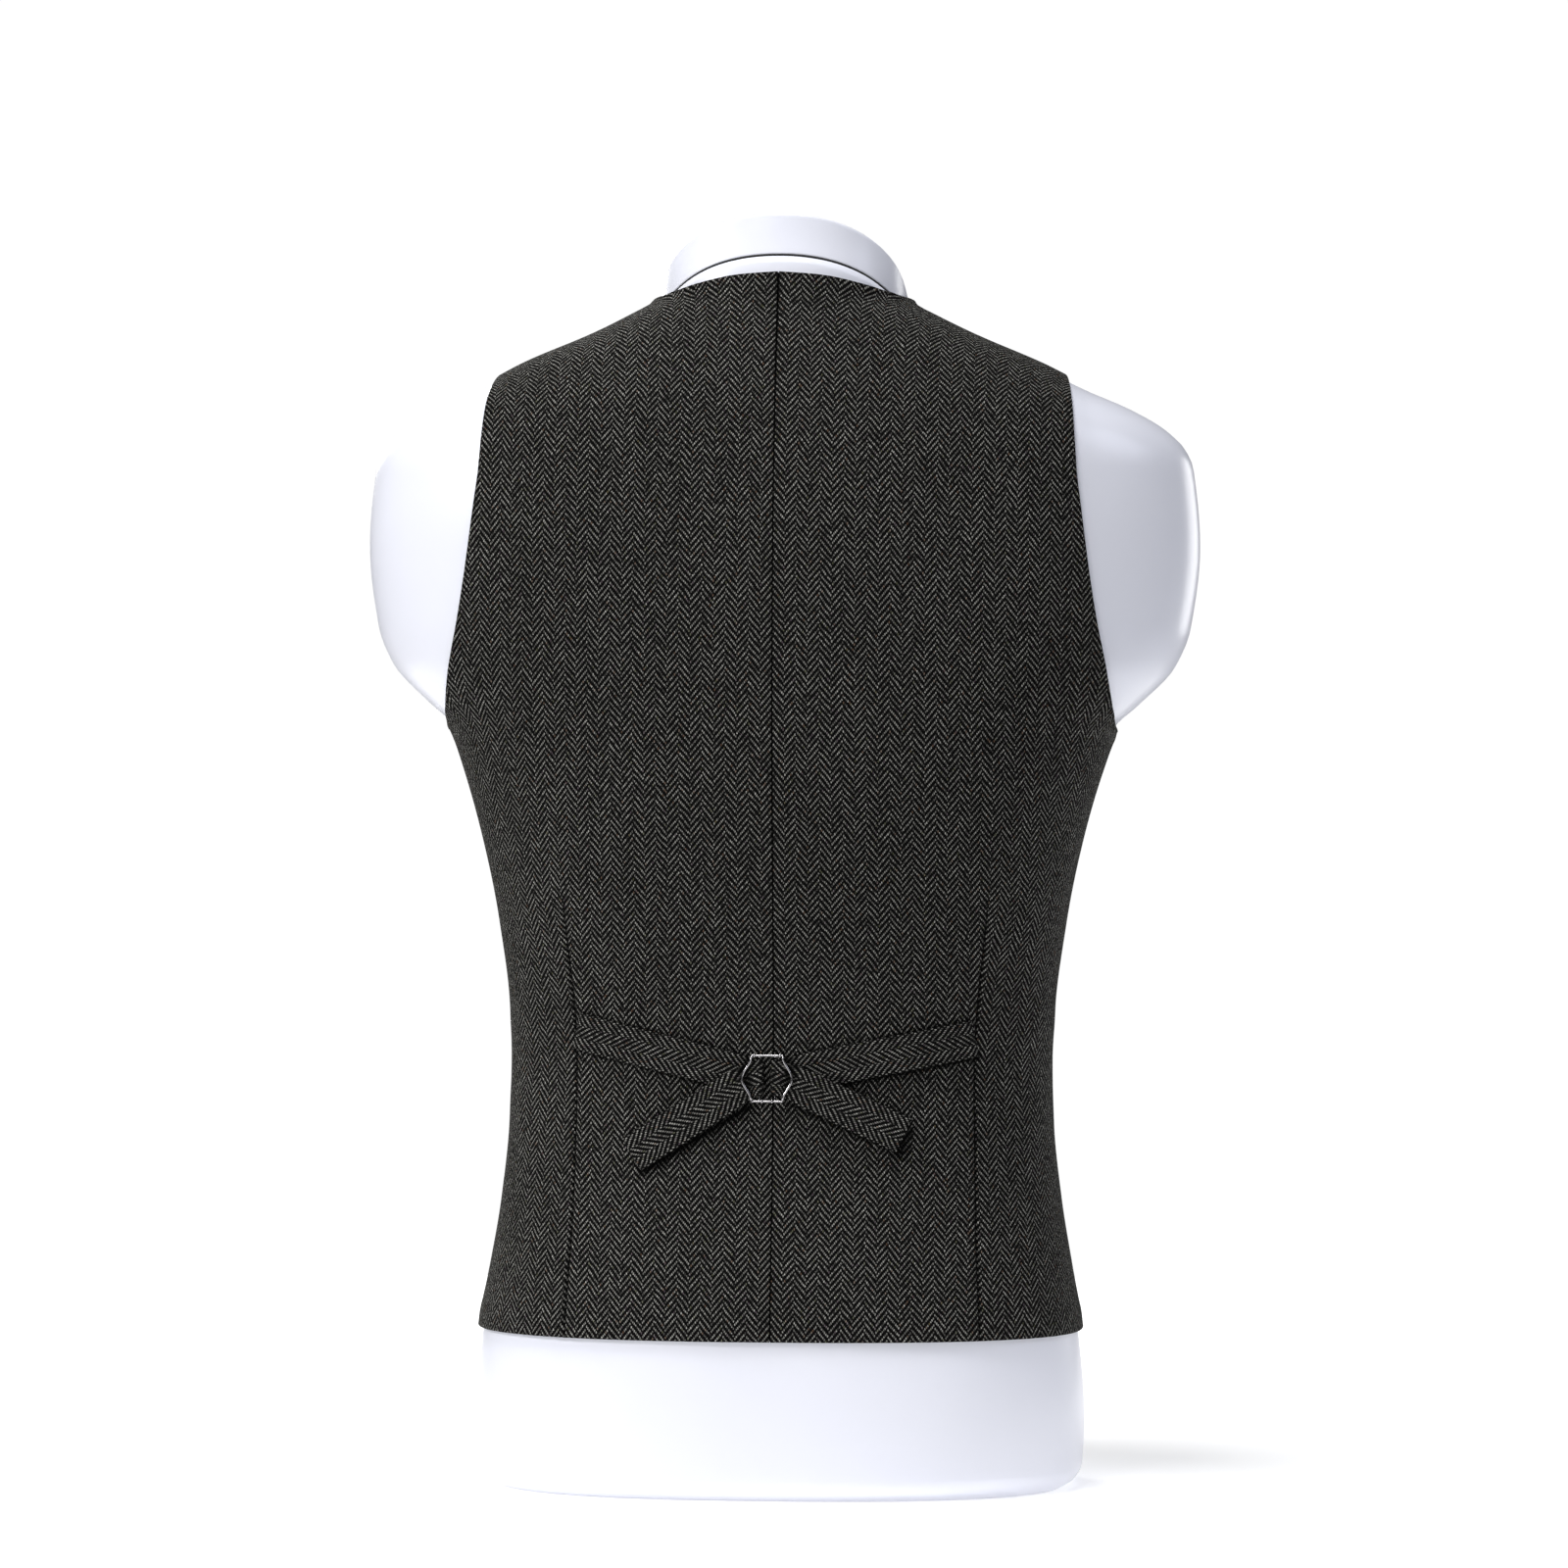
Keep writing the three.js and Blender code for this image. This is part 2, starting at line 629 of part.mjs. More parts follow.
/** A strap as a closed band through its stations. */
function strap(side, stations) {
  const rings = stations.map(({ place, height, pitch, turn }) => {
    const along = new THREE.Vector2(-side * Math.cos(turn), Math.sin(turn));
    if (pitch === 0) {
      along.set(-side * Math.cos(turn), Math.sin(turn));
    }
    const across = new THREE.Vector2(-along.y, along.x).multiplyScalar(side);
    const lean = new THREE.Vector2(-Math.sin(pitch), Math.cos(pitch));
    const corners = [[-1, 1], [0, 1], [1, 1], [1, -1], [0, -1], [-1, -1]];
    return corners.map(([w, f]) => {
      const fromBuckle = Math.abs(place.x - BUCKLE.x);
      const width = STRAP.width * (0.93 + 0.07 * soft((fromBuckle - 16) / 8));
      const x = place.x + (across.x * w * width) / 2;
      const z = place.y + (across.y * w * width) / 2;
      const shift = (f * STRAP.thick) / 2;
      const sideways = lean.x * shift;
      return overBack(
        x + along.x * sideways,
        z + along.y * sideways,
        height + lean.y * shift,
      );
    });
  });
  const centre = (ring) => ring.reduce((sum, p) => sum.add(p), new THREE.Vector3())
    .divideScalar(ring.length);
  return loft(rings, centre(rings[0]), centre(rings[rings.length - 1]));
}

/** The wire buckle: a bowed frame and two posts, joined into one body. */
function buckle() {
  const top = BUCKLE.height / 2 - BUCKLE.wire;
  const barHeight = 4.8;
  const sideHeight = 6.5;
  const postHeight = 3.1;
  const at = (x, z, height) => overBack(BUCKLE.x + x, BUCKLE.z + z, height);
  const sideWire = (side) => [-1, -0.93, -0.8, -0.5, 0, 0.5, 0.8, 0.93, 1].map((t) => {
    const x = BUCKLE.bar + (BUCKLE.bow - BUCKLE.wire - BUCKLE.bar) * (1 - t * t);
    const height = barHeight + (sideHeight - barHeight) * soft((1 - Math.abs(t)) * 10);
    return at(side * x, side * t * top, height);
  });
  const frame = [...sideWire(-1), ...sideWire(1)];
  let body = toBody(wire(frame, BUCKLE.wire, true));
  [-1, 1].forEach((side) => {
    const post = [-1, -0.93, -0.84, -0.5, 0, 0.5, 0.84, 0.93, 1].map((t) => {
      const rise = soft((Math.abs(t) - 0.84) / 0.16);
      const height = THREE.MathUtils.lerp(postHeight, barHeight, rise);
      return at(side * BUCKLE.post, t * top, height);
    });
    body = body.add(toBody(wire(post, BUCKLE.wire * 0.92, false)));
  });
  return fromBody(body);
}

// The buttons, with four holes and a dished face

/** A button lying in the XY plane, its back at height 0. */
function buttonShape() {
  const { radius, thick, hole, spread } = BUTTON;
  const profile = [
    [0, 0], [radius - 0.8, 0], [radius, 0.9], [radius, thick - 0.9], [radius - 0.9, thick],
    [radius - 2.6, thick - 1], [0, thick - 1],
  ].map(([x, y]) => new THREE.Vector2(x, y));
  const lathe = new THREE.LatheGeometry(profile, 18).rotateX(Math.PI / 2);
  let body = toBody(outwardLathe(lathe));
  [[-1, -1], [1, -1], [1, 1], [-1, 1]].forEach(([i, j]) => {
    const drill = new THREE.CylinderGeometry(hole, hole, thick * 3, 6).rotateX(Math.PI / 2);
    drill.translate((i * spread), (j * spread), thick / 2);
    body = body.subtract(toBody(drill));
  });
  return fromBody(body);
}

/** Lathe body with its axis points merged and its faces turned outward. */
function outwardLathe(geometry) {
  const plain = geometry.clone();
  plain.deleteAttribute('normal');
  plain.deleteAttribute('uv');
  const merged = mergeVertices(plain, 1e-4);
  const points = [];
  const position = merged.getAttribute('position');
  for (let k = 0; k < position.count; k += 1) {
    points.push(new THREE.Vector3().fromBufferAttribute(position, k));
  }
  const index = merged.getIndex();
  const faces = [];
  for (let k = 0; k < index.count; k += 3) {
    const face = [index.getX(k), index.getX(k + 1), index.getX(k + 2)];
    if (new Set(face).size === 3) {
      faces.push(face);
    }
  }
  return solidFrom(points, faces);
}

/** Place and direction of the button at height z on the closed front. */
function buttonFrame(z) {
  const p = ringPoint(z, 180);
  const n = normalAt(p);
  p.addScaledVector(n, AIR + WALL + LAP_LIFT + 0.6);
  return { p, n };
}

// The whole object

const COLOURS = { cloth: 0x3a3937, form: 0xeef1f6, joint: 0x16161a, button: 0x1d1a18, wire: 0xd8d8dc };
const raw = new THREE.Group();

/** Adds one named piece with its own material. */
function add(name, geometry, color, roughness, metalness) {
  const material = new THREE.MeshStandardMaterial({ color, roughness, metalness });
  const mesh = new THREE.Mesh(geometry, material);
  mesh.name = name;
  raw.add(mesh);
  return mesh;
}

const form = formPieces();
add('form_torso', form.torso, COLOURS.form, 0.18, 0);
add('form_neck', form.neck, COLOURS.form, 0.18, 0);
add('form_joint', form.slab, COLOURS.joint, 0.6, 0);

const flat = () => 0;
const backPanel = panelRows('back');
const frontPanel = panelRows('front');
add('back_left', panel(backPanel, false, flat), COLOURS.cloth, 0.92, 0);
add('back_right', panel(backPanel, true, flat), COLOURS.cloth, 0.92, 0);
add('front_left', panel(frontPanel, false, lapLift), COLOURS.cloth, 0.92, 0);
add('front_right', panel(frontPanel, true, flat), COLOURS.cloth, 0.92, 0);

const place = (x, z) => new THREE.Vector2(x, z);
const leftStations = strapStations(1, place(109.6, 254), place(19, 224.9), place(77.5, 187));
const rightStations = strapStations(-1, place(-109.6, 251), place(-13, 226.5), place(-71.6, 198.6));
add('cinch_left', strap(1, leftStations), COLOURS.cloth, 0.92, 0);
add('cinch_right', strap(-1, rightStations), COLOURS.cloth, 0.92, 0);
add('buckle', buckle(), COLOURS.wire, 0.25, 1);

for (let k = 0; k < BUTTON.count; k += 1) {
  const { p, n } = buttonFrame(BUTTON.top - k * BUTTON.pitch);
  const mesh = add(`button_${k + 1}`, buttonShape(), COLOURS.button, 0.35, 0);
  mesh.quaternion.setFromUnitVectors(new THREE.Vector3(0, 0, 1), n);
  mesh.position.copy(p);
}

// The origin is the middle of the base of the whole object's box
raw.updateMatrixWorld(true);
const box = new THREE.Box3().setFromObject(raw, true);
const object = new THREE.Group();
raw.position.set(-(box.min.x + box.max.x) / 2, -(box.min.y + box.max.y) / 2, -box.min.z);
object.add(raw);

export default object;
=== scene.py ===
"""Suit waistcoat with a cinched back, on its plain torso form, dressed for rendering."""

import logging
import math
from dataclasses import dataclass, field
from enum import Enum
from typing import Callable, Optional, Sequence

import bmesh
import bpy
import numpy as np
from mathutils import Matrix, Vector

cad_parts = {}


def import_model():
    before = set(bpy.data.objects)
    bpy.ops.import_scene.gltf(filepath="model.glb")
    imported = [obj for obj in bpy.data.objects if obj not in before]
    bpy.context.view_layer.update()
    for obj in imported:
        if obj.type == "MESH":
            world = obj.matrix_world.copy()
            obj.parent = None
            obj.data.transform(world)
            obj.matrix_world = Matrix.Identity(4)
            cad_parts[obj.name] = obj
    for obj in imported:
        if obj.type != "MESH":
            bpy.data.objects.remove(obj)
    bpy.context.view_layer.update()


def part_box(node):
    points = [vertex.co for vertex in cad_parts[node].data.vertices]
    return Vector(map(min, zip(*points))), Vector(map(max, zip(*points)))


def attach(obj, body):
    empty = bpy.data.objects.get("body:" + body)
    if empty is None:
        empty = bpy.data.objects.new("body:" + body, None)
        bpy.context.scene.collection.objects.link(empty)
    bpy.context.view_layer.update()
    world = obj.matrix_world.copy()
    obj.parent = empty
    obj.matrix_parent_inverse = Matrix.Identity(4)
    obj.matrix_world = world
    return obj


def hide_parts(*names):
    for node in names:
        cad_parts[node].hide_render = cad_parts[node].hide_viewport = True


LOG = logging.getLogger("waistcoat")
MM = 0.001
Array = np.ndarray

# Sizes shared with the frame, in millimetres
AIR = 1.4
WALL = 1.7
SEAM = 0.3
HEM_BACK = 87.0
ARM_LOW = 421.0
PIVOT = 560.0
SIDE_SEAM = 94.5
SHOULDER_SEAM = 93.0
SHOULDER_TIP = 157.0
LAP = 16.0
LAP_LIFT = 2.4
BREAK = 430.0
BACK_DEPTH = 120.5
JOINT_GAP = 1.2
STRAP_WIDTH = 20.5
STRAP_THICK = 1.5
STRAP_LOW = 0.7
STRAP_TAIL = 4.0
BUCKLE_X = 3.2
BUCKLE_Z = 229.4
BUCKLE_HEIGHT = 26.2
BUCKLE_WIRE = 0.6
POST_X = 4.3
BAR_HALF = 8.5
BOW_HALF = 14.2
BUTTON_RADIUS = 7.5
BUTTON_THICK = 3.0
BUTTON_TOP = 412.0
BUTTON_PITCH = 72.0
BUTTON_COUNT = 5
HOLE_START = -2.5
HOLE_END = 15.5
SLIVER = 5e-6  # metres
# Angles round from the centre back that hold the back panels and the fronts
BACK_SPAN = (0.0, 90.0)
FRONT_SPAN = (92.0, 250.0)


class Side(Enum):
    """Half of the garment that a panel belongs to."""

    BACK = "back"
    FRONT = "front"


class Wearer(Enum):
    """The wearer's own side, with the sign of X on it."""

    LEFT = 1
    RIGHT = -1


class Curve:
    """Smooth curve through a table's rows that never overshoots between them."""

    def __init__(self, rows: Sequence[Sequence[float]], column: int = 1) -> None:
        """Keep the rows and work out the slope at each.

        Args:
            rows: Rows of the table, rising in their first column.
            column: Column that the curve gives.
        """
        self.xs = np.array([row[0] for row in rows], float)
        self.ys = np.array([row[column] for row in rows], float)
        steps = np.diff(self.ys) / np.diff(self.xs)
        before, after = steps[:-1], steps[1:]
        product = before * after
        total = np.where(np.abs(before + after) < 1e-12, 1.0, before + after)
        inner = np.where(product > 0, 2 * product / total, 0.0)
        self.slopes = np.concatenate([[steps[0]], inner, [steps[-1]]])

    def __call__(self, x: Array) -> Array:
        """Give the curve's value.

        Args:
            x: Places on the curve, held within its ends.

        Returns:
            The values there.
        """
        x = np.clip(x, self.xs[0], self.xs[-1])
        k = np.clip(np.searchsorted(self.xs, x) - 1, 0, len(self.xs) - 2)
        width = self.xs[k + 1] - self.xs[k]
        t = (x - self.xs[k]) / width
        first = self.ys[k] * (1 + 2 * t) + self.slopes[k] * width * t
        second = self.ys[k + 1] * (3 - 2 * t) - self.slopes[k + 1] * width * (1 - t)
        return first * (1 - t) ** 2 + second * t * t


# The form: z, half width, back, front, how square behind and before, middle
FORM_ROWS = (
    (0, 158, 106, -100, 2.5, 2.4, 0),
    (4, 164.5, 112.5, -106.5, 2.5, 2.4, 0),
    (12, 169, 117, -110.5, 2.5, 2.4, 0),
    (38, 170, 118, -112.5, 2.5, 2.4, 0),
    (87, 166, 115, -111.5, 2.5, 2.4, 0),
    (120, 160.2, 108.8, -110, 2.45, 2.4, 0),
    (159, 153.8, 99.5, -107, 2.4, 2.35, 0),
    (200, 149.4, 91.5, -105.3, 2.4, 2.3, 0),
    (236, 148.4, 89, -105, 2.4, 2.3, 0),
    (269, 149.6, 91, -106, 2.4, 2.3, -0.7),
    (313, 155.4, 99, -110.5, 2.4, 2.35, -1.2),
    (357, 164.5, 109, -118, 2.5, 2.4, -1.6),
    (401, 176.6, 116, -125, 2.6, 2.45, -2),
    (423, 185.5, 118.4, -126.6, 2.55, 2.4, -1.4),
    (434, 197.5, 119, -127, 2.45, 2.3, -1),
    (456, 218.6, 120.3, -126.6, 2.27, 2.2, 0),
    (478, 227.4, 120.5, -124.5, 2.18, 2.12, 1),
    (522, 232.4, 118.5, -115.5, 2.12, 2.08, 3.5),
    (566, 228.5, 112, -99, 2.12, 2.08, 6),
    (577, 223.9, 109, -93.7, 2.14, 2.1, 6.7),
    (588, 212.6, 106, -88, 2.17, 2.12, 7.3),
    (599, 193.6, 102.5, -79, 2.2, 2.1, 8),
    (610, 168, 98.3, -66, 2.2, 2.15, 8.5),
    (622, 143.8, 93.5, -51, 2.2, 2.2, 9),
    (635.3, 112.2, 87, -46, 2.2, 2.2, 9.7),
    (648.5, 83.6, 80.5, -44, 2.15, 2.15, 10.3),
    (655.1, 72, 77.6, -43.4, 2.1, 2.1, 10.6),
    (660, 69.2, 76, -43, 2.1, 2.1, 10.8),
    (672, 68, 72.5, -42.4, 2.1, 2.1, 11),
    (690, 66, 68, -42, 2.1, 2.1, 11),
    (712, 64, 64.5, -42, 2.1, 2.1, 11),
)
HALF, BACK, FRONT, SQUARE_BACK, SQUARE_FRONT, MIDDLE = (
    Curve(FORM_ROWS, column) for column in range(1, 7)
)
# Side views of the neck joint and of the neck's top: y, z
NECK_JOINT = Curve(
    ((-100, 587), (-62, 606), (-25, 624), (11, 642), (44, 661), (69.5, 680.2), (100, 703))
)
NECK_TOP = Curve(
    ((-80, 628), (-45, 633), (-20, 643), (11, 662), (38.5, 684), (66, 705.5), (80, 716))
)
# Garment lines: z, x, but the back neck is angle, z and the hem is x, z
ARM_BACK = Curve(
    ((434, 184.6), (456, 180.6), (478, 176), (500, 172.3), (522, 169.2), (544, 166.4),
     (560, 164.3), (600, 160))
)
ARM_FRONT = Curve(
    ((434, 177), (450, 168), (480, 156), (520, 148), (560, 146), (600, 150))
)
NECK_BACK = Curve(((0, 672), (18, 670.4), (38, 666.2), (60, 661.2), (95, 657)))
DART_BACK = Curve(
    ((20, 115), (87, 113.5), (160, 110.5), (235, 109.5), (335, 117), (430, 121), (570, 112))
)
DART_FRONT = Curve(((20, 84), (75, 84), (235, 78), (370, 82), (430, 86), (570, 92)))
NECKLINE = Curve(
    ((30, -LAP), (BREAK - 8, -LAP), (BREAK + 10, -13), (500, 10), (570, 37))
)
HEM_FRONT = Curve(
    ((-20, 84), (0, 66), (18, 51), (36, 39.5), (46, 38.5), (70, 45), (110, 60), (145, 77),
     (168, HEM_BACK))
)
# Edge of the lap across the other front, from the neck down to the hem
LAP_LINE = ((0.0, 474.0), (-13.0, BREAK + 10.0), (-LAP, BREAK - 8.0), (-LAP, 80.0), (0.0, 66.0))
# Cloth taken in by each dart at height z, which shifts the pattern beside it
INTAKE_BACK = Curve(((60, 8), (160, 12), (235, 15), (290, 8), (335, 0), (600, 0)))
INTAKE_FRONT = Curve(((30, 6), (160, 9), (235, 11), (300, 7), (370, 0), (600, 0)))


def soft(t: Array) -> Array:
    """Give a step from 0 to 1 that is soft at both ends."""
    c = np.clip(t, 0.0, 1.0)
    return c * c * (3 - 2 * c)


def halving(low: Array, high: Array, below: Callable[[Array], Array]) -> Array:
    """Find where a test turns false, for many places at once.

    Args:
        low: Values where the test holds.
        high: Values where it doesn't.
        below: The test.

    Returns:
        The values where it turns.
    """
    a = np.array(low, float)
    b = np.array(high, float)
    for _ in range(36):
        m = (a + b) / 2
        yes = below(m)
        a = np.where(yes, m, a)
        b = np.where(yes, b, m)
    return (a + b) / 2


def ring_point(z: Array, degrees: Array) -> Array:
    """Give points of the form's rings.

    Args:
        z: Heights.
        degrees: Angles round from the centre back.

    Returns:
        Points, with their coordinates last.
    """
    z, degrees = np.broadcast_arrays(np.asarray(z, float), np.asarray(degrees, float))
    s = np.sin(np.radians(degrees))
    c = np.cos(np.radians(degrees))
    square = np.where(c >= 0, SQUARE_BACK(z), SQUARE_FRONT(z))
    depth = np.where(c >= 0, BACK(z) - MIDDLE(z), MIDDLE(z) - FRONT(z))
    x = HALF(z) * np.sign(s) * np.abs(s) ** (2 / square)
    y = MIDDLE(z) + depth * np.sign(c) * np.abs(c) ** (2 / square)
    return np.stack([x, y, z], -1)


def form_field(x: Array, y: Array, z: Array) -> Array:
    """Give a value that rises through zero at the form's surface.

    Args:
        x: Places across.
        y: Places from front to back.
        z: Heights.

    Returns:
        Values, below zero inside the form and above zero outside it.
    """
    back = y >= MIDDLE(z)
    square = np.where(back, SQUARE_BACK(z), SQUARE_FRONT(z))
    depth = np.where(back, BACK(z) - MIDDLE(z), MIDDLE(z) - FRONT(z))
    across = (np.abs(x) / HALF(z)) ** square
    return across + (np.abs(y - MIDDLE(z)) / depth) ** square - 1


def normal_at(p: Array) -> Array:
    """Give the form's outward normals.

    Args:
        p: Surface points.

    Returns:
        Unit vectors, one for each point.
    """
    h = 0.6
    x, y, z = p[..., 0], p[..., 1], p[..., 2]
    n = np.stack(
        [
            form_field(x + h, y, z) - form_field(x - h, y, z),
            form_field(x, y + h, z) - form_field(x, y - h, z),
            form_field(x, y, z + h) - form_field(x, y, z - h),
        ],
        -1,
    )
    return n / np.linalg.norm(n, axis=-1, keepdims=True)


def ray_point(x: Array, degrees: Array) -> Array:
    """Give surface points on rays turned up from the pivot.

    Args:
        x: Places across.
        degrees: Turns of the rays, from straight back.

    Returns:
        Points, with their coordinates last.
    """
    x, degrees = np.broadcast_arrays(np.asarray(x, float), np.asarray(degrees, float))
    c = np.cos(np.radians(degrees))
    s = np.sin(np.radians(degrees))
    y0 = float(MIDDLE(PIVOT))
    r = halving(
        np.zeros_like(x), np.full_like(x, 200.0),
        lambda m: form_field(x, y0 + m * c, PIVOT + m * s) < 0,
    )
    return np.stack([x, y0 + r * c, PIVOT + r * s], -1)


def angle_at(z: Array, x: Array, low: float, high: float, height: float = AIR + WALL) -> Array:
    """Find where round the ring cloth of a given height stands over x.

    Args:
        z: Heights of the rings.
        x: Places across.
        low: Angle to start from.
        high: Angle to end at.
        height: How far the cloth stands off the form.

    Returns:
        Angles in degrees.
    """
    z, x = np.broadcast_arrays(np.asarray(z, float), np.asarray(x, float))
    rising = high <= 91

    def below(m: Array) -> Array:
        """Tell where the cloth at angles m hasn't reached x yet."""
        p = ring_point(z, m)
        reach = p[..., 0] + normal_at(p)[..., 0] * height
        return reach < x if rising else reach > x

    return halving(np.full_like(z, low), np.full_like(z, high), below)


def edge_roll(distance: Array, radius: float) -> Array:
    """Give how far a folded edge turns down at a distance from its end."""
    d = np.clip(distance, 0.0, radius)
    return radius - np.sqrt(np.maximum(radius ** 2 - (radius - d) ** 2, 0.0))


# Mesh and node helpers

SHIFT_Y = 0.0


def make_mesh(
    name: str, points: Array, faces: Sequence[Sequence[int]], uvs: Optional[Array] = None
) -> bpy.types.Object:
    """Make an object from points in millimetres of the form's own frame.

    Args:
        name: Name of the object.
        points: Points, one a row.
        faces: Corner numbers of each face.
        uvs: Cloth coordinates in metres for each corner of each face in turn.

    Returns:
        The linked object.
    """
    placed = np.array(points, float)
    placed[:, 1] += SHIFT_Y
    mesh = bpy.data.meshes.new(name)
    mesh.from_pydata((placed * MM).tolist(), [], [list(f) for f in faces])
    mesh.polygons.foreach_set("use_smooth", [True] * len(mesh.polygons))
    if uvs is not None:
        layer = mesh.uv_layers.new(name="weave")
        layer.data.foreach_set("uv", np.asarray(uvs, float).ravel())
    mesh.update()
    obj = bpy.data.objects.new(name, mesh)
    bpy.context.scene.collection.objects.link(obj)
    return obj


def dress(obj: bpy.types.Object, material: bpy.types.Material,
          painted_shade: Optional[Array] = None) -> bpy.types.Object:
    """Give an object its material, and painted shade at its points where one is given.

    Args:
        obj: The object.
        material: Its material.
        painted_shade: Shade in cloth at each point, from 0 to 1.

    Returns:
        The same object.
    """
    if painted_shade is not None:
        shade = obj.data.attributes.new("painted_shade", "FLOAT", "POINT")
        shade.data.foreach_set("value", painted_shade)
    obj.data.materials.append(material)
    return obj


def face_outward(obj: bpy.types.Object) -> None:
    """Turn all faces of a closed mesh outward.

    Args:
        obj: Object of the mesh.
    """
    work = bmesh.new()
    work.from_mesh(obj.data)
    bmesh.ops.recalc_face_normals(work, faces=work.faces)
    work.to_mesh(obj.data)
    work.free()


def grid_faces(rows: int, columns: int, offset: int = 0, flip: bool = False) -> Array:
    """Give the quads of a grid of points.

    Args:
        rows: Number of rows.
        columns: Number of points in a row.
        offset: Number of the grid's first point.
        flip: Whether the faces look the other way.

    Returns:
        Corner numbers, four a face.
    """
    r, c = np.meshgrid(np.arange(rows - 1), np.arange(columns - 1), indexing="ij")
    a = offset + r * columns + c
    quads = np.stack([a, a + 1, a + columns + 1, a + columns], -1).reshape(-1, 4)
    return quads[:, ::-1] if flip else quads


def wall_faces(rows: int, columns: int, flip: bool) -> Array:
    """Give the quads of a wall: its outer grid of points, its inner one and the rim.

    Args:
        rows: Number of rows in each grid.
        columns: Number of points in a row.
        flip: Whether the faces look the other way.

    Returns:
        Corner numbers, four a face.
    """
    size = rows * columns
    loop = list(range(columns))
    loop += [r * columns + columns - 1 for r in range(1, rows)]
    loop += [(rows - 1) * columns + c for c in range(columns - 2, -1, -1)]
    loop += [r * columns for r in range(rows - 2, 0, -1)]
    a = np.array(loop)
    b = np.roll(a, -1)
    rim = np.stack([b, a, a + size, b + size], -1)
    return np.concatenate([
        grid_faces(rows, columns, 0, flip), grid_faces(rows, columns, size, not flip),
        rim[:, ::-1] if flip else rim,
    ])


def ring_faces(rings: int, count: int, first: int = 0, closed: bool = False
               ) -> list[tuple[int, ...]]:
    """Give the quads between rings of points.

    Args:
        rings: Number of rings.
        count: Points in a ring.
        first: Number of the first point.
        closed: Whether the last ring joins the first.

    Returns:
        Corner numbers of each quad.
    """
    quads: list[tuple[int, ...]] = []
    for r in range(rings if closed else rings - 1):
        low = first + r * count
        high = first + (r + 1) % rings * count
        for c in range(count):
            d = (c + 1) % count
            quads.append((low + c, low + d, high + d, high + c))
    return quads


def ring_caps(rings: int, count: int, first: int = 0) -> list[tuple[int, ...]]:
    """Give the faces that close the first and the last of a run of rings."""
    last = first + (rings - 1) * count
    return [tuple(reversed(range(first, first + count))), tuple(range(last, last + count))]


def circle(count: int) -> Array:
    """Give evenly spaced angles round a circle, in radians."""
    return np.linspace(0, 2 * math.pi, count, endpoint=False)


def linear(hex_colour: str) -> tuple[float, float, float, float]:
    """Turn an sRGB hex colour into linear numbers for a shader.

    Args:
        hex_colour: Six hex digits.

    Returns:
        Linear red, green and blue, with full alpha.
    """
    parts = [int(hex_colour[k:k + 2], 16) / 255 for k in (0, 2, 4)]
    values = [c / 12.92 if c <= 0.04045 else ((c + 0.055) / 1.055) ** 2.4 for c in parts]
    return (values[0], values[1], values[2], 1.0)


def cells(size_mm: float) -> float:
    """Give the scale of a pattern in metres whose cells have a real size."""
    return 1.0 / (size_mm * MM)


# Settings of a node that mixes two colours, and of one that ramps softly between two values
COLOURS = {"data_type": "RGBA"}
SOFTLY = {"interpolation_type": "SMOOTHSTEP"}


class Nodes:
    """Small builder for one node tree."""

    def __init__(self, owner: bpy.types.Material | bpy.types.World) -> None:
        """Start an empty node tree.

        Args:
            owner: Material or surround that the nodes belong to.
        """
        owner.use_nodes = True
        self.tree = owner.node_tree
        self.tree.nodes.clear()

    def fill(self, socket: bpy.types.NodeSocket, value: object) -> None:
        """Give a socket its value, or a link.

        Args:
            socket: The socket.
            value: Its value, or the other node's socket that feeds it.
        """
        if isinstance(value, bpy.types.NodeSocket):
            self.tree.links.new(value, socket)
        else:
            socket.default_value = value

    def add(self, kind: str, *values: object, out: str = "", **named: object
            ) -> Optional[bpy.types.NodeSocket]:
        """Add one node with its settings and links.

        Args:
            kind: Type of the node, with its operation after a colon.
            values: Values or other nodes' sockets for its open inputs in turn.
            out: Name of the output wanted, where it isn't the first open one.
            named: Settings under their own names, and inputs under capitalised ones.

        Returns:
            The output, or None where the node has none.
        """
        kind, _, operation = kind.partition(":")
        node = self.tree.nodes.new("ShaderNode" + kind)
        if operation:
            node.operation = operation
        for key, value in named.items():
            if key.islower():
                setattr(node, key, value)
        for socket, value in zip([s for s in node.inputs if s.enabled], values):
            self.fill(socket, value)
        for key, value in named.items():
            if not key.islower():
                self.fill(node.inputs[key], value)
        opened = [s for s in node.outputs if s.enabled]
        return node.outputs[out] if out else next(iter(opened), None)


# Finishes

class Finish:
    """One material, made from what the real one is."""

    name: str

    def sockets(self, n: Nodes) -> dict[str, object]:
        """Give the main shader's values and links, by socket."""
        raise NotImplementedError

    def build(self) -> bpy.types.Material:
        """Make the material: one main shader and the nodes that feed it.

        Returns:
            The material.
        """
        material = bpy.data.materials.new(self.name)
        n = Nodes(material)
        shader = n.add("BsdfPrincipled")
        n.add("OutputMaterial", shader)
        for key, value in self.sockets(n).items():
            n.fill(shader.node.inputs[key], value)
        return material


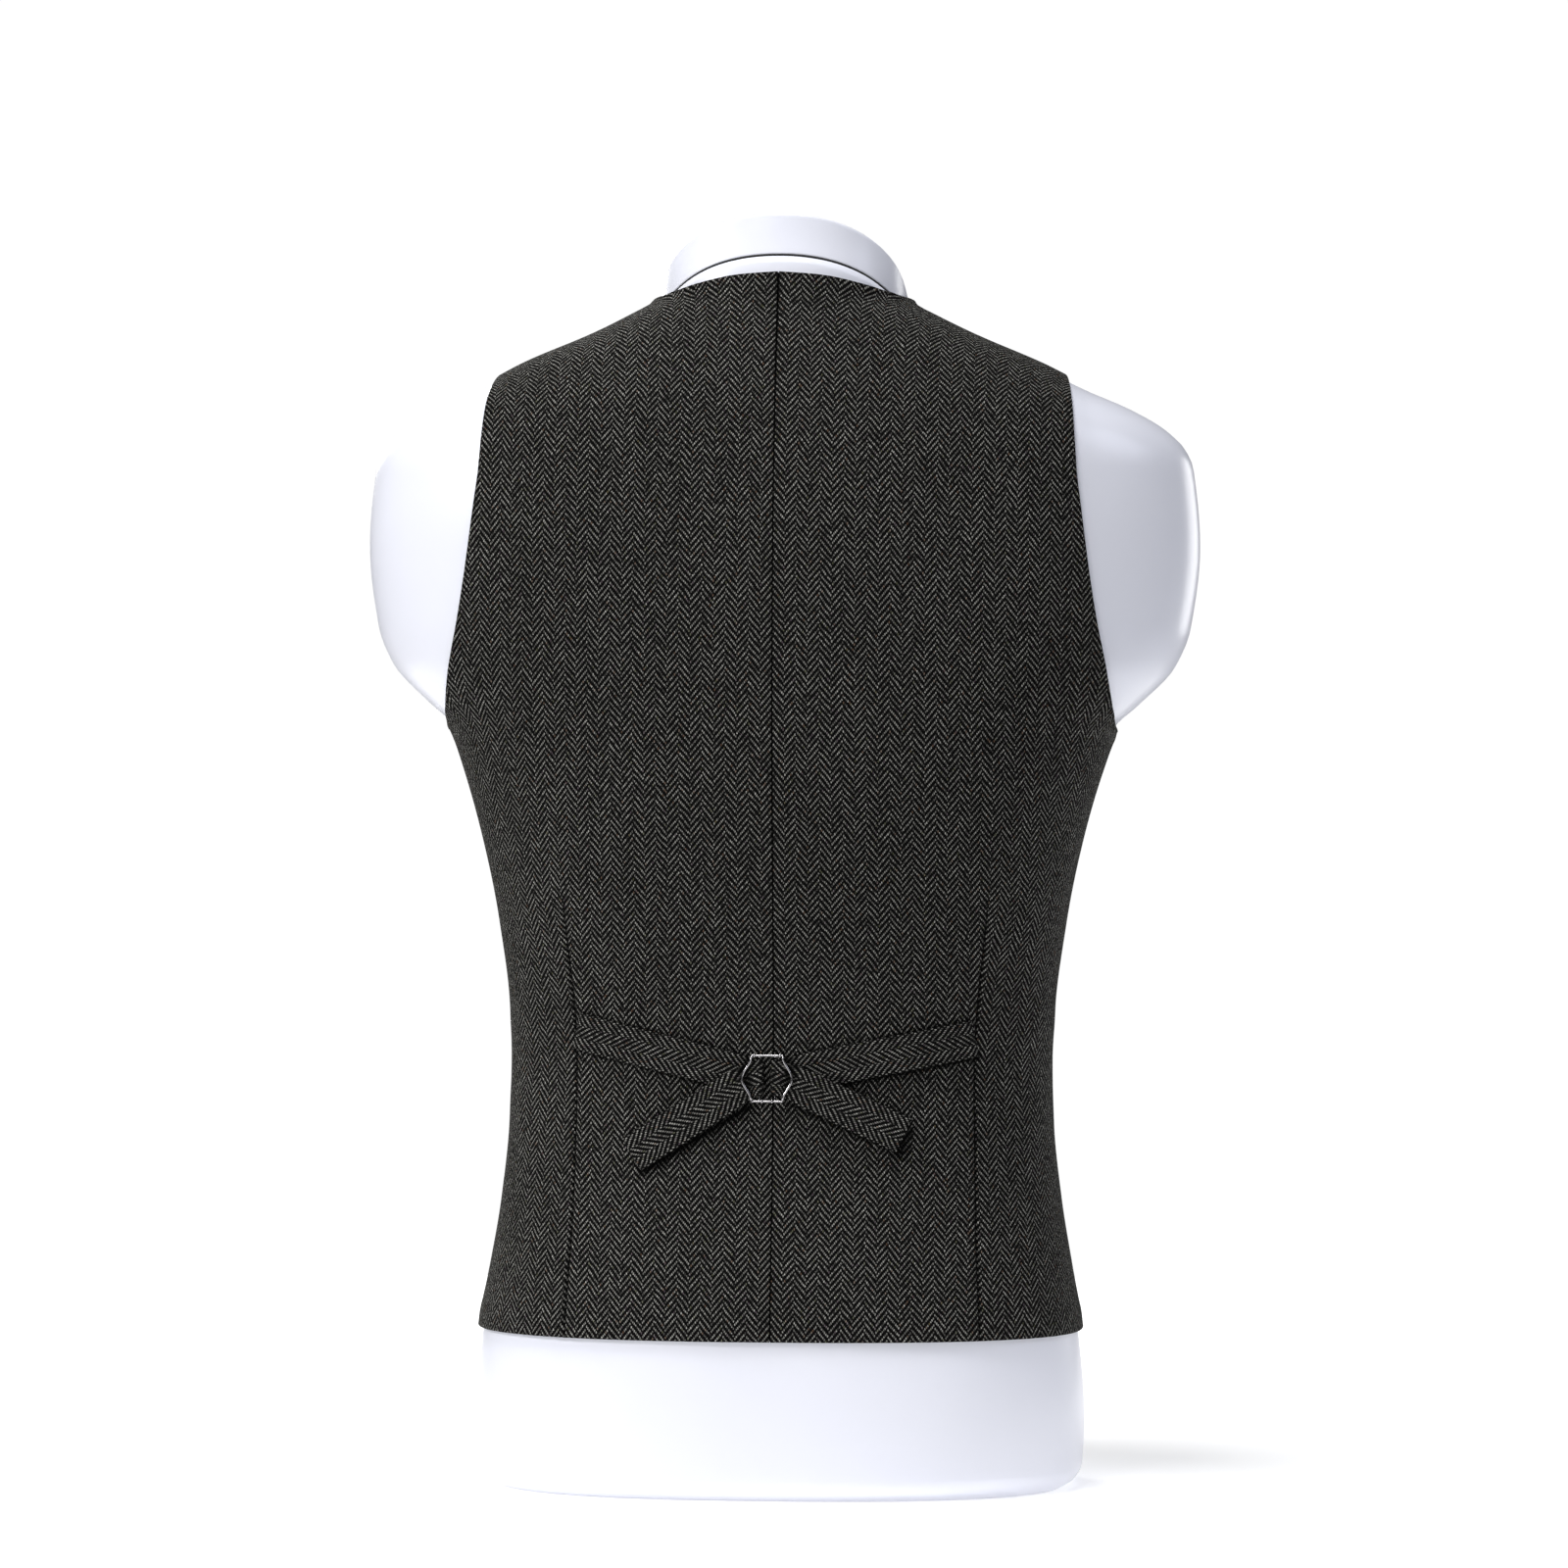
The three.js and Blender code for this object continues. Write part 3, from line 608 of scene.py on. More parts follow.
@dataclass(frozen=True)
class Contact:
    """Line where something lies on the cloth and keeps the light off it; its shade is painted into
    the cloth's colour.

    Args:
        start: One end, across and up, in millimetres.
        end: The other end.
        width: How far the shade reaches.
        depth: How deep it is, from 0 to 1.
    """

    start: tuple[float, float]
    end: tuple[float, float]
    width: float
    depth: float

    def shade(self, n: Nodes, place: bpy.types.NodeSocket) -> bpy.types.NodeSocket:
        """Add nodes that measure the distance to the line.

        Args:
            n: Builder of the material.
            place: Place in the object's frame, flattened from front to back.

        Returns:
            The shade, from 0 to the line's depth.
        """
        first = (self.start[0] * MM, 0.0, self.start[1] * MM)
        run = ((self.end[0] - self.start[0]) * MM, 0.0, (self.end[1] - self.start[1]) * MM)
        square = run[0] ** 2 + run[2] ** 2
        offset = n.add("VectorMath:SUBTRACT", place, first)
        share = n.add("Math:DIVIDE", n.add("VectorMath:DOT_PRODUCT", offset, run), square)
        near = n.add("VectorMath:SCALE", run, n.add("Clamp", share))
        away = n.add("VectorMath:DISTANCE", offset, near)
        shade = n.add("MapRange", away, self.width * MM, 0.0, **SOFTLY)
        return n.add("Math:MULTIPLY", shade, self.depth)


@dataclass(frozen=True)
class HerringboneWool(Finish):
    """Woollen spun tweed in a 2/2 herringbone, milled lightly and steam-ironed.

    A pale grey-beige warp crosses a near-black weft, so the twill reads as light
    strokes that lean one way in one stripe and the other way in the next. The
    spun yarn is uneven, and a few fibres dyed brown, olive and plum fleck it.
    Contacts are lines that things on the cloth keep in shade, painted into the colour.
    """

    name: str = "herringbone_wool"
    contacts: tuple[Contact, ...] = ()
    end_mm: float = 0.79  # one warp yarn
    pick_mm: float = 0.95  # one weft yarn
    ends_in_stripe: float = 8.0
    wander_mm: float = 6.25  # length of a yarn's small wanderings
    drift_mm: float = 35.714  # length of the cloth's slow ones
    slub_mm: float = 2.857  # length of a yarn's thick and thin places
    cloud_mm: float = 71.43  # patch left by pressing and handling
    fuzz_mm: float = 0.3846  # tangle of fibres, drawn coarser than single ones to show
    fleck_mm: float = 2.6  # shortest dyed fibre
    warp_pale: str = "a6a59f"
    warp_deep: str = "3a3937"
    # Colour of the painted highlights on a few warp floats
    spark: str = "d6d5cf"
    weft_pale: str = "131212"
    weft_deep: str = "070707"
    flecks: tuple[str, ...] = ("6a4c36", "575a3c", "52404f")

    def sockets(self, n: Nodes) -> dict[str, object]:
        """Work the weave out from the cloth coordinates, which are in metres.

        Args:
            n: Builder of the material.

        Returns:
            Values and links of the main shader.
        """
        uv = n.add("UVMap", uv_map="weave")
        metres_across = n.add("SeparateXYZ", uv)
        metres_up = metres_across.node.outputs["Y"]
        # Milling lets the yarns wander a little out of straight
        wander = n.add("Math:SUBTRACT", n.add("TexNoise", uv, cells(self.wander_mm), 2.0), 0.5)
        drift = n.add("Math:SUBTRACT", n.add("TexNoise", uv, cells(self.drift_mm), 1.0), 0.5)
        shift = n.add("Math:ADD", n.add("Math:MULTIPLY", wander, 0.9),
                      n.add("Math:MULTIPLY", drift, 1.6))
        u = n.add("Math:ADD", n.add("Math:MULTIPLY", metres_across, 1000.0), shift)
        v = n.add("Math:SUBTRACT", n.add("Math:MULTIPLY", metres_up, 1000.0), shift)
        end = n.add("Math:DIVIDE", u, self.end_mm)
        pick = n.add("Math:DIVIDE", v, self.pick_mm)
        end_number = n.add("Math:FLOOR", end)
        pick_number = n.add("Math:FLOOR", pick)
        end_part = n.add("Math:FRACT", end)
        pick_part = n.add("Math:FRACT", pick)
        stripe = n.add("Math:FLOOR", n.add("Math:DIVIDE", end_number, self.ends_in_stripe))
        parity = n.add("Math:FLOORED_MODULO", stripe, 2.0)
        lean = n.add("Math:SUBTRACT", 1.0, n.add("Math:MULTIPLY", parity, 2.0))
        # The stripes break against each other, and the twill repeats after four picks
        step = n.add("Math:ADD", n.add("Math:MULTIPLY", end_number, lean), parity)
        phase = n.add("Math:FLOORED_MODULO", n.add("Math:ADD", pick_number, step), 4.0)
        warp_up = n.add("Math:LESS_THAN", phase, 1.5)
        # Uneven spinning: each yarn is darker and paler along its length
        warp_place = n.add("CombineXYZ", n.add("Math:MULTIPLY", end_number, 7.31),
                           n.add("Math:MULTIPLY", v, 1.0 / self.slub_mm), 0.0)
        weft_place = n.add("CombineXYZ", n.add("Math:MULTIPLY", u, 1.0 / self.slub_mm),
                           n.add("Math:MULTIPLY", pick_number, 5.17), 9.0)
        warp_tone = n.add("MapRange", n.add("TexNoise", warp_place, 1.0, 3.0), 0.3, 0.72, **SOFTLY)
        weft_tone = n.add("MapRange", n.add("TexNoise", weft_place, 1.0, 3.0), 0.35, 0.75, **SOFTLY)
        warp = n.add("Mix", warp_tone, linear(self.warp_deep), linear(self.warp_pale), **COLOURS)
        weft = n.add("Mix", weft_tone, linear(self.weft_deep), linear(self.weft_pale), **COLOURS)
        colour = n.add("Mix", warp_up, weft, warp, **COLOURS)
        # Painted glints: each float of yarn is dulled a little at random, and a few warp floats are
        # tinted pale as painted highlights, as if each caught the light a little differently
        glint = n.add("TexWhiteNoise", n.add("CombineXYZ", end_number, pick_number, 1.0))
        dulled = n.add("Math:MULTIPLY", glint, 0.35)
        colour = n.add("Mix", dulled, colour, linear(self.weft_deep), **COLOURS)
        spark = n.add("Math:MULTIPLY", n.add("Math:LESS_THAN", glint, 0.06),
                      n.add("Math:MULTIPLY", warp_up, 0.3))
        colour = n.add("Mix", spark, colour, linear(self.spark), **COLOURS)
        # Sparse dyed fibres, each a few millimetres of one yarn
        for number, fleck in enumerate(self.flecks):
            length = n.add("Math:DIVIDE", v, self.fleck_mm + 0.7 * number)
            fibre = n.add("CombineXYZ", end_number, n.add("Math:FLOOR", length), 3.0 + number)
            chosen = n.add("Math:GREATER_THAN", n.add("TexWhiteNoise", fibre), 0.972)
            shown = n.add("Math:MULTIPLY", chosen, n.add("Math:MULTIPLY", warp_up, 0.5))
            colour = n.add("Mix", shown, colour, linear(fleck), **COLOURS)
        # The gap beside each yarn is in shade
        warp_round = n.add("Math:SINE", n.add("Math:MULTIPLY", end_part, math.pi))
        weft_round = n.add("Math:SINE", n.add("Math:MULTIPLY", pick_part, math.pi))
        float_place = n.add("Math:MULTIPLY", n.add("Math:ADD", phase, pick_part), 0.5)
        float_round = n.add("Math:SINE", n.add("Math:MULTIPLY", float_place, math.pi))
        warp_crown = n.add("Math:MULTIPLY", float_round, n.add("Math:SQRT", warp_round))
        crown = n.add("Mix", warp_up, weft_round, warp_crown, data_type="FLOAT")
        gap = n.add("MapRange", crown, 0.15, 0.9, **SOFTLY)
        colour = n.add("Mix", gap, linear(self.weft_deep), colour, **COLOURS)
        # Pressing and handling leave broad, faint cloudiness
        place = n.add("TexCoord", out="Object")
        cloud = n.add("MapRange", n.add("TexNoise", place, cells(self.cloud_mm), 3.0), 0.3, 0.7,
                      **SOFTLY)
        dimmed = n.add("Math:MULTIPLY", cloud, 0.12)
        colour = n.add("Mix", dimmed, colour, linear("050505"), **COLOURS)
        # Painted shade: seams, darts and contacts lie where light hardly reaches, so the cloth is
        # mixed towards near-black there
        painted_shade = n.add("Attribute", attribute_name="painted_shade", out="Fac")
        flattened = n.add("VectorMath:MULTIPLY", place, (1.0, 0.0, 1.0))
        for contact in self.contacts:
            painted_shade = n.add("Math:MAXIMUM", painted_shade, contact.shade(n, flattened))
        colour = n.add("Mix", painted_shade, colour, linear("030303"), **COLOURS)
        fuzz = n.add("TexNoise", place, cells(self.fuzz_mm), 2.0)
        yarns = n.add("Math:ADD", n.add("Math:MULTIPLY", crown, 0.6),
                      n.add("Math:MULTIPLY", warp_up, 0.35))
        height = n.add("Math:ADD", yarns, n.add("Math:MULTIPLY", fuzz, 0.35))
        return {
            "Base Color": colour,
            "Normal": n.add("Bump", Strength=0.8, Distance=0.35 * MM, Height=height),
            "Roughness": 0.95,
            "Specular IOR Level": 0.03,
            "Sheen Weight": 0.012,
            "Sheen Roughness": 0.5,
            "Sheen Tint": linear("c9c4ba"),
        }


@dataclass(frozen=True)
class DarkThread(Finish):
    """Polyester core-spun sewing thread, dyed near-black and lightly waxed.

    Its fine plies show as a faint shine along each stitch.
    """

    name: str = "dark_thread"
    ply_mm: float = 0.3333  # drawn three times as coarse as it is, to show

    def sockets(self, n: Nodes) -> dict[str, object]:
        """Give the plies as a fine pattern of tone and height.

        Args:
            n: Builder of the material.

        Returns:
            Values and links of the main shader.
        """
        ply = n.add("TexNoise", n.add("TexCoord", out="Object"), cells(self.ply_mm), 1.0)
        return {
            "Base Color": n.add("Mix", ply, linear("141313"), linear("262524"), **COLOURS),
            "Normal": n.add("Bump", Strength=0.6, Distance=0.1 * MM, Height=ply),
            "Roughness": 0.65,
            "Specular IOR Level": 0.2,
            "Sheen Weight": 0.02,
        }


@dataclass(frozen=True)
class WhiteGelcoat(Finish):
    """Fibreglass skin with a sprayed white gelcoat, flatted and polished.

    The polish gives highlights with a soft edge, and the spray leaves a faint
    orange-peel that lets them waver.
    """

    name: str = "white_gelcoat"
    tone_mm: float = 166.7  # patch of the sprayed layer's tone
    peel_mm: float = 5.263  # orange-peel
    rub_mm: float = 25.0  # patch left by the polishing pad

    def sockets(self, n: Nodes) -> dict[str, object]:
        """Give the sprayed tone, the polishing marks and the orange-peel.

        Args:
            n: Builder of the material.

        Returns:
            Values and links of the main shader.
        """
        place = n.add("TexCoord", out="Object")
        tone = n.add("TexNoise", place, cells(self.tone_mm), 2.0)
        peel = n.add("TexNoise", place, cells(self.peel_mm), 1.0)
        rub = n.add("TexNoise", place, cells(self.rub_mm), 2.0)
        return {
            "Base Color": n.add("Mix", tone, linear("e1e3ee"), linear("e5e6ee"), **COLOURS),
            "Roughness": n.add("Math:ADD", 0.28, n.add("Math:MULTIPLY", rub, 0.04)),
            "Normal": n.add("Bump", Strength=0.3, Distance=0.03 * MM, Height=peel),
            "Coat Weight": 0.12,
            "Coat Roughness": 0.15,
            "Specular IOR Level": 0.4,
        }


@dataclass(frozen=True)
class ShadowPaint(Finish):
    """Flat near-black inside the joint: painted shade for its deep gap, with faint paler dust
    gathered on it.
    """

    name: str = "joint_shade_paint"
    dust_mm: float = 3.333  # drift of settled dust

    def sockets(self, n: Nodes) -> dict[str, object]:
        """Give the dust as a faint paler pattern.

        Args:
            n: Builder of the material.

        Returns:
            Values and links of the main shader.
        """
        dust = n.add("TexNoise", n.add("TexCoord", out="Object"), cells(self.dust_mm), 2.0)
        paler = n.add("Math:MULTIPLY", dust, 0.3)
        return {
            "Base Color": n.add("Mix", paler, linear("050506"), linear("18181a"), **COLOURS),
            "Normal": n.add("Bump", Strength=0.4, Distance=0.05 * MM, Height=dust),
            "Roughness": 0.8,
        }


@dataclass(frozen=True)
class NickelWire(Finish):
    """Drawn steel wire, bent, brazed at its corners and nickel-plated bright.

    Fine marks from the drawing break its bright reflections.
    """

    name: str = "nickel_wire"
    mark_mm: float = 0.6667  # drawn far coarser than it is, to show

    def sockets(self, n: Nodes) -> dict[str, object]:
        """Give the drawing marks in tone, roughness and height.

        Args:
            n: Builder of the material.

        Returns:
            Values and links of the main shader.
        """
        marks = n.add("TexNoise", n.add("TexCoord", out="Object"), cells(self.mark_mm), 3.0)
        return {
            "Base Color": n.add("Mix", marks, linear("8c8a8b"), linear("b9b7b8"), **COLOURS),
            "Roughness": n.add("Math:ADD", 0.1, n.add("Math:MULTIPLY", marks, 0.1)),
            "Normal": n.add("Bump", Strength=0.5, Distance=0.03 * MM, Height=marks),
            "Metallic": 1.0,
        }


@dataclass(frozen=True)
class HornResin(Finish):
    """Cast polyester resin streaked like horn, turned and tumbled to a polish.

    Brown-black streaks lie under a clear, slightly worn shine.
    """

    name: str = "horn_resin"
    streak_mm: float = 2.381  # breadth of a streak, four times as long
    wear_mm: float = 1.1111  # patch dulled by wear

    def sockets(self, n: Nodes) -> dict[str, object]:
        """Give the long streaks and the worn polish.

        Args:
            n: Builder of the material.

        Returns:
            Values and links of the main shader.
        """
        place = n.add("TexCoord", out="Object")
        drawn_out = n.add("Mapping", place, Scale=(1.0, 1.0, 0.25))
        streak = n.add("MapRange", n.add("TexNoise", drawn_out, cells(self.streak_mm), 4.0),
                       0.35, 0.7, **SOFTLY)
        wear = n.add("TexNoise", place, cells(self.wear_mm), 3.0)
        return {
            "Base Color": n.add("Mix", streak, linear("14100e"), linear("3a2a20"), **COLOURS),
            "Roughness": n.add("Math:ADD", 0.22, n.add("Math:MULTIPLY", wear, 0.16)),
            "Normal": n.add("Bump", Strength=0.4, Distance=0.04 * MM, Height=wear),
            "Coat Weight": 0.3,
            "Coat Roughness": 0.15,
        }


@dataclass(frozen=True)
class StudioPaper(Finish):
    """Matte white background paper under the form, bright enough to melt into the surround."""

    name: str = "studio_paper"
    tooth_mm: float = 1.4286  # drawn a few times coarser than it is, to show

    def sockets(self, n: Nodes) -> dict[str, object]:
        """Give white with a faint paper tooth.

        Args:
            n: Builder of the material.

        Returns:
            Values and links of the main shader.
        """
        tooth = n.add("TexNoise", n.add("TexCoord", out="Object"), cells(self.tooth_mm), 2.0)
        return {
            "Base Color": n.add("Mix", tooth, linear("fbfbfb"), linear("ffffff"), **COLOURS),
            "Normal": n.add("Bump", Strength=0.3, Distance=0.05 * MM, Height=tooth),
            "Roughness": 0.95,
            "Specular IOR Level": 0.1,
            "Emission Strength": 0.38,
            "Emission Color": linear("ffffff"),
        }


# Creases: soft troughs and ridges placed in the back or front view

@dataclass(frozen=True)
class Crease:
    """One soft fold, in millimetres in the view of its side.

    Args:
        start: One end, across and up.
        end: The other end.
        width: How broad it is.
        height: How high it stands, below zero for a trough.
    """

    start: tuple[float, float]
    end: tuple[float, float]
    width: float
    height: float

    def at(self, x: Array, z: Array) -> Array:
        """Give the fold's height at places on the panel.

        Args:
            x: Places across, the wearer's left positive.
            z: Heights.

        Returns:
            Heights of the fold, below zero in a trough.
        """
        ax, az = self.start
        bx, bz = self.end
        length = math.hypot(bx - ax, bz - az)
        ux, uz = (bx - ax) / length, (bz - az) / length
        along = ((x - ax) * ux + (z - az) * uz) / length
        away = (x - ax) * -uz + (z - az) * ux
        bend = 0.08 * length * np.sin(np.clip(along, 0, 1) * math.pi)
        ends = soft(along / 0.3 + 0.1) * soft((1 - along) / 0.45 + 0.1)
        return self.height * ends * np.exp(-(((away - bend) / self.width) ** 2))


# Each crease: start, end, width and height
BACK_CREASES = tuple(Crease(*row) for row in (
    ((106, 272), (30, 256), 5.5, 0.6),
    ((106, 240), (34, 222), 3.0, -0.6),
    ((92, 290), (22, 276), 8.0, 0.5),
    ((84, 184), (20, 216), 3.5, -0.6),
    ((-104, 270), (-34, 254), 5.0, 0.65),
    ((-106, 238), (-30, 216), 3.0, -0.7),
    ((-88, 288), (-30, 270), 9.0, 0.5),
    ((-76, 190), (-20, 214), 3.5, -0.6),
    ((122, 240), (150, 262), 7.0, 0.7),
    ((122, 216), (150, 206), 9.0, 0.6),
    ((-122, 243), (-149, 268), 8.0, 0.8),
    ((-121, 214), (-150, 200), 9.0, 0.55),
    ((150, 436), (108, 366), 14.0, 0.8),
    ((-152, 434), (-116, 350), 13.0, 0.9),
    ((168, 470), (140, 420), 9.0, -0.5),
    ((-170, 468), (-146, 410), 9.0, -0.6),
    ((60, 640), (112, 566), 15.0, 0.5),
    ((-52, 642), (-118, 560), 14.0, 0.6),
    ((70, 92), (64, 150), 12.0, 0.7),
    ((-38, 90), (-46, 140), 13.0, 0.6),
    ((-88, 90), (-84, 168), 10.0, -0.4),
    ((136, 90), (132, 160), 11.0, 0.6),
    ((-140, 90), (-135, 150), 12.0, 0.7),
    ((14, 430), (52, 330), 20.0, -0.4),
    ((-24, 450), (-60, 340), 18.0, -0.35),
))
FRONT_CREASES = tuple(Crease(*row) for row in (
    ((10, 268), (74, 284), 7.0, 0.7),
    ((10, 340), (84, 352), 9.0, 0.6),
    ((10, 262), (70, 244), 8.0, -0.5),
    ((10, 196), (62, 206), 8.0, 0.6),
    ((-18, 268), (-78, 288), 8.0, 0.7),
    ((-18, 340), (-90, 346), 10.0, 0.5),
    ((-18, 194), (-70, 180), 8.0, 0.6),
    ((146, 452), (100, 380), 13.0, 0.9),
    ((-142, 450), (-92, 392), 12.0, 0.8),
    ((136, 520), (96, 452), 12.0, -0.6),
    ((-138, 530), (-104, 448), 12.0, -0.5),
    ((90, 240), (140, 254), 8.0, 0.7),
    ((88, 222), (142, 206), 9.0, -0.5),
    ((-88, 246), (-142, 258), 8.0, 0.8),
    ((-90, 220), (-140, 214), 9.0, -0.4),
    ((56, 60), (62, 130), 12.0, 0.7),
    ((-66, 62), (-60, 140), 12.0, 0.8),
    ((112, 72), (106, 150), 11.0, 0.6),
    ((-118, 74), (-110, 140), 11.0, 0.6),
    ((50, 610), (110, 590), 12.0, 0.5),
    ((-52, 606), (-116, 596), 12.0, 0.5),
))


def relief(points: Array, creases: Sequence[Crease]) -> Array:
    """Give the height of all creases and of the cloth's slow unevenness.

    Args:
        points: Surface points.
        creases: The side's own creases.

    Returns:
        Heights to move the cloth out by.
    """
    x, z = points[..., 0], points[..., 2]
    total = np.zeros_like(x)
    for crease in creases:
        total += crease.at(x, z)
    total += 0.22 * np.sin(x / 23 + 1.3) * np.sin(z / 41 + 0.4)
    total += 0.16 * np.sin(x / 13 - z / 37 + 2.1) + 0.12 * np.sin(z / 17 + x / 51)
    return np.maximum(total, -0.7)


def bridge(p: Array) -> Array:
    """Give how far the cloth stands off the hollows between shoulder and neck.

    Args:
        p: Surface points.

    Returns:
        Heights to move the cloth out by.
    """
    across = np.abs(p[..., 0])
    ledge = 0.5 * soft((p[..., 2] - 616) / 16) * soft((108 - across) / 25)
    # The front's neck edge is taut, so it spans the hollow over the collarbone
    span = 3.2 * np.exp(-(((p[..., 2] - 619) / 13) ** 2)) * soft((92 - across) / 34)
    return ledge + span * soft((-p[..., 1] - 24) / 12)


def lap_lift(p: Array) -> Array:
    """Give how far the wearer's left front is lifted to lie over the right one."""
    return LAP_LIFT * (1 - soft((p[..., 0] - 20) / 40)) * (1 - soft((p[..., 2] - 480) / 50))


def closed_strip(line: Array, normal: Array, low: float, high: float) -> tuple[Array, Array]:
    """Make a thin closed strip along pairs of surface points.

    Args:
        line: Pairs of points, one pair a row.
        normal: Normal of each row.
        low: Height of the strip's inner face.
        high: Height of its outer face.

    Returns:
        Points and faces.
    """
    points = np.concatenate([
        (line + normal * high).reshape(-1, 3),
        (line + normal * low).reshape(-1, 3),
    ])
    return points, wall_faces(line.shape[0], line.shape[1], True)


# The cloth panels

# Where rows and columns stand beside a free edge and beside a dart, so that its roll is round
EDGE_STEPS = (0.0, 0.12, 0.35, 0.7, 1.2, 2.2, 4.0)
DART_STEPS = (3.6, 2.0, 1.2, 0.7, 0.3)
FAR = 99.0  # distance to an edge that plays no part
CORNER = 92.0  # angle of the neck's corner at the shoulder, round from the centre back


@dataclass
class Panel:
    """One cut panel, modelled as a thin closed wall with rolled edges.

    Args:
        side: Back or front.
        wearer: The wearer's left or right.
        inner_columns: Columns between the centre edge and the dart.
        outer_columns: Columns between the dart and the side.
        low_rows: Rows below the armhole.
        high_rows: Rows beside the armhole.
        turn_rows: Rows over the shoulder.
        opening: Height over which the armhole leaves the side seam.
        fold: Radius of a folded edge.
        name: Name of its node.
        flat_area: Area of the cut, in square metres.
        flat_size: Box round the cut, in metres.
    """

    side: Side
    wearer: Wearer
    inner_columns: int = 24
    outer_columns: int = 20
    low_rows: int = 90
    high_rows: int = 30
    turn_rows: int = 36
    opening: float = 13.0
    fold: float = 0.8
    name: str = field(init=False)
    flat_area: float = field(init=False, default=0.0)
    flat_size: tuple[float, float] = field(init=False, default=(0.0, 0.0))

    def __post_init__(self) -> None:
        """Name the panel as its node."""
        self.name = f"{self.side.value}_{self.wearer.name.lower()}"

    @property
    def is_back(self) -> bool:
        """Tell whether the panel is a back."""
        return self.side is Side.BACK

    def ends(self, z: Array) -> tuple[Array, Array]:
        """Give the first and last angle of the panel's rows.

        Args:
            z: Heights of the rows.

        Returns:
            Angles of the centre edge, and of the side seam or the armhole.
        """
        seam = np.degrees(SEAM / 2 / (0.7 * HALF(z)))
        t = np.sqrt(np.clip((z - ARM_LOW) / self.opening, 0, 1))
        low = np.maximum(z, ARM_LOW + self.opening)
        if self.is_back:
            first = angle_at(z, np.full_like(z, SEAM / 2), *BACK_SPAN)
            edge = angle_at(low, ARM_BACK(low), *BACK_SPAN)
            seam_angle = SIDE_SEAM - seam
        else:
            first = angle_at(z, NECKLINE(z), *FRONT_SPAN)
            edge = angle_at(low, ARM_FRONT(low), 90, 180)
            seam_angle = SIDE_SEAM + seam
        return first, np.where(z <= ARM_LOW, seam_angle, seam_angle + (edge - seam_angle) * t)

    def columns(self) -> list[tuple[int, float, float]]:
        """List the columns, from the centre edge to the side.

        Returns:
            Stretch before or after the dart, share of its width, and millimetres added.
        """
        columns: list[tuple[int, float, float]] = [(0, 0.0, d) for d in EDGE_STEPS]
        for k in range(1, self.inner_columns):
            columns.append((0, 0.05 + 0.9 * k / self.inner_columns, 0.0))
        columns += [(0, 1.0, -d) for d in DART_STEPS]
        columns.append((0, 1.0, 0.0))
        columns += [(1, 0.0, d) for d in reversed(DART_STEPS)]
        for k in range(1, self.outer_columns):
            columns.append((1, 0.07 + 0.88 * k / self.outer_columns, 0.0))
        columns += [(1, 1.0, -d) for d in reversed(EDGE_STEPS)]
        return columns

    def lay_out(self, levels: Array) -> dict[str, Array]:
        """Work out where each column runs round the form at even levels.

        Args:
            levels: Heights, one for each row of the answer.

        Returns:
            Angles, distances along the row, and distances to the dart and to the side.
        """
        first, last = self.ends(levels)
        line, span = (DART_BACK, BACK_SPAN) if self.is_back else (DART_FRONT, FRONT_SPAN)
        dart = angle_at(levels, line(levels), *span)
        steps = np.linspace(0, 1, 161)
        angles, offsets, widths = [], [], []
        for start, stop in ((first, dart), (dart, last)):
            sample = start[:, None] + (stop - start)[:, None] * steps
            p = ring_point(levels[:, None], sample)
            lengths = np.linalg.norm(np.diff(p, axis=1), axis=-1)
            total = np.concatenate([np.zeros((len(levels), 1)), np.cumsum(lengths, 1)], 1)
            angles.append(sample)
            offsets.append(total)
            widths.append(total[:, -1])
        columns = self.columns()
        angle = np.empty((len(levels), len(columns)))
        along = np.empty_like(angle)
        for c, (part, share, extra) in enumerate(columns):
            for r, width in enumerate(widths[part]):
                target = min(max(share * width + extra, 0.0), width)
                angle[r, c] = np.interp(target, offsets[part][r], angles[part][r])
                along[r, c] = target + (widths[0][r] if part else 0.0)
        return {
            "angle": angle,
            "along": along,
            "dart": along - widths[0][:, None],
            "end": (widths[0] + widths[1])[:, None] - along,
        }

    def top_points(self, base_x: Array) -> Array:
        """Give the points of the top edge: round the neck, then the shoulder.

        Args:
            base_x: Place across of each column where the panel starts to turn in.

        Returns:
            One surface point for each column.
        """
        seam = np.full_like(base_x, SHOULDER_SEAM + (-0.1 if self.is_back else 0.1))
        corner = float(ring_point(NECK_BACK(CORNER) - 1, CORNER)[0])
        tip = SHOULDER_TIP - 2
        if not self.is_back:
            share = (base_x - base_x[0]) / (base_x[-1] - base_x[0])
            return ray_point(corner + (tip - corner) * share, seam)
        turn = 76.0
        angle = np.clip(base_x / turn, 0, 1) * CORNER
        z = NECK_BACK(angle)
        neck = ring_point(z - 1.5 * np.cos(np.radians(angle)), angle)
        neck[:, 0] = np.maximum(neck[:, 0], SEAM / 2)
        share = np.clip((base_x - turn) / (base_x[-1] - turn), 0, 1)
        shoulder = ray_point(corner + (tip - corner) * share, seam)
        return np.where((base_x < turn)[:, None], neck, shoulder)

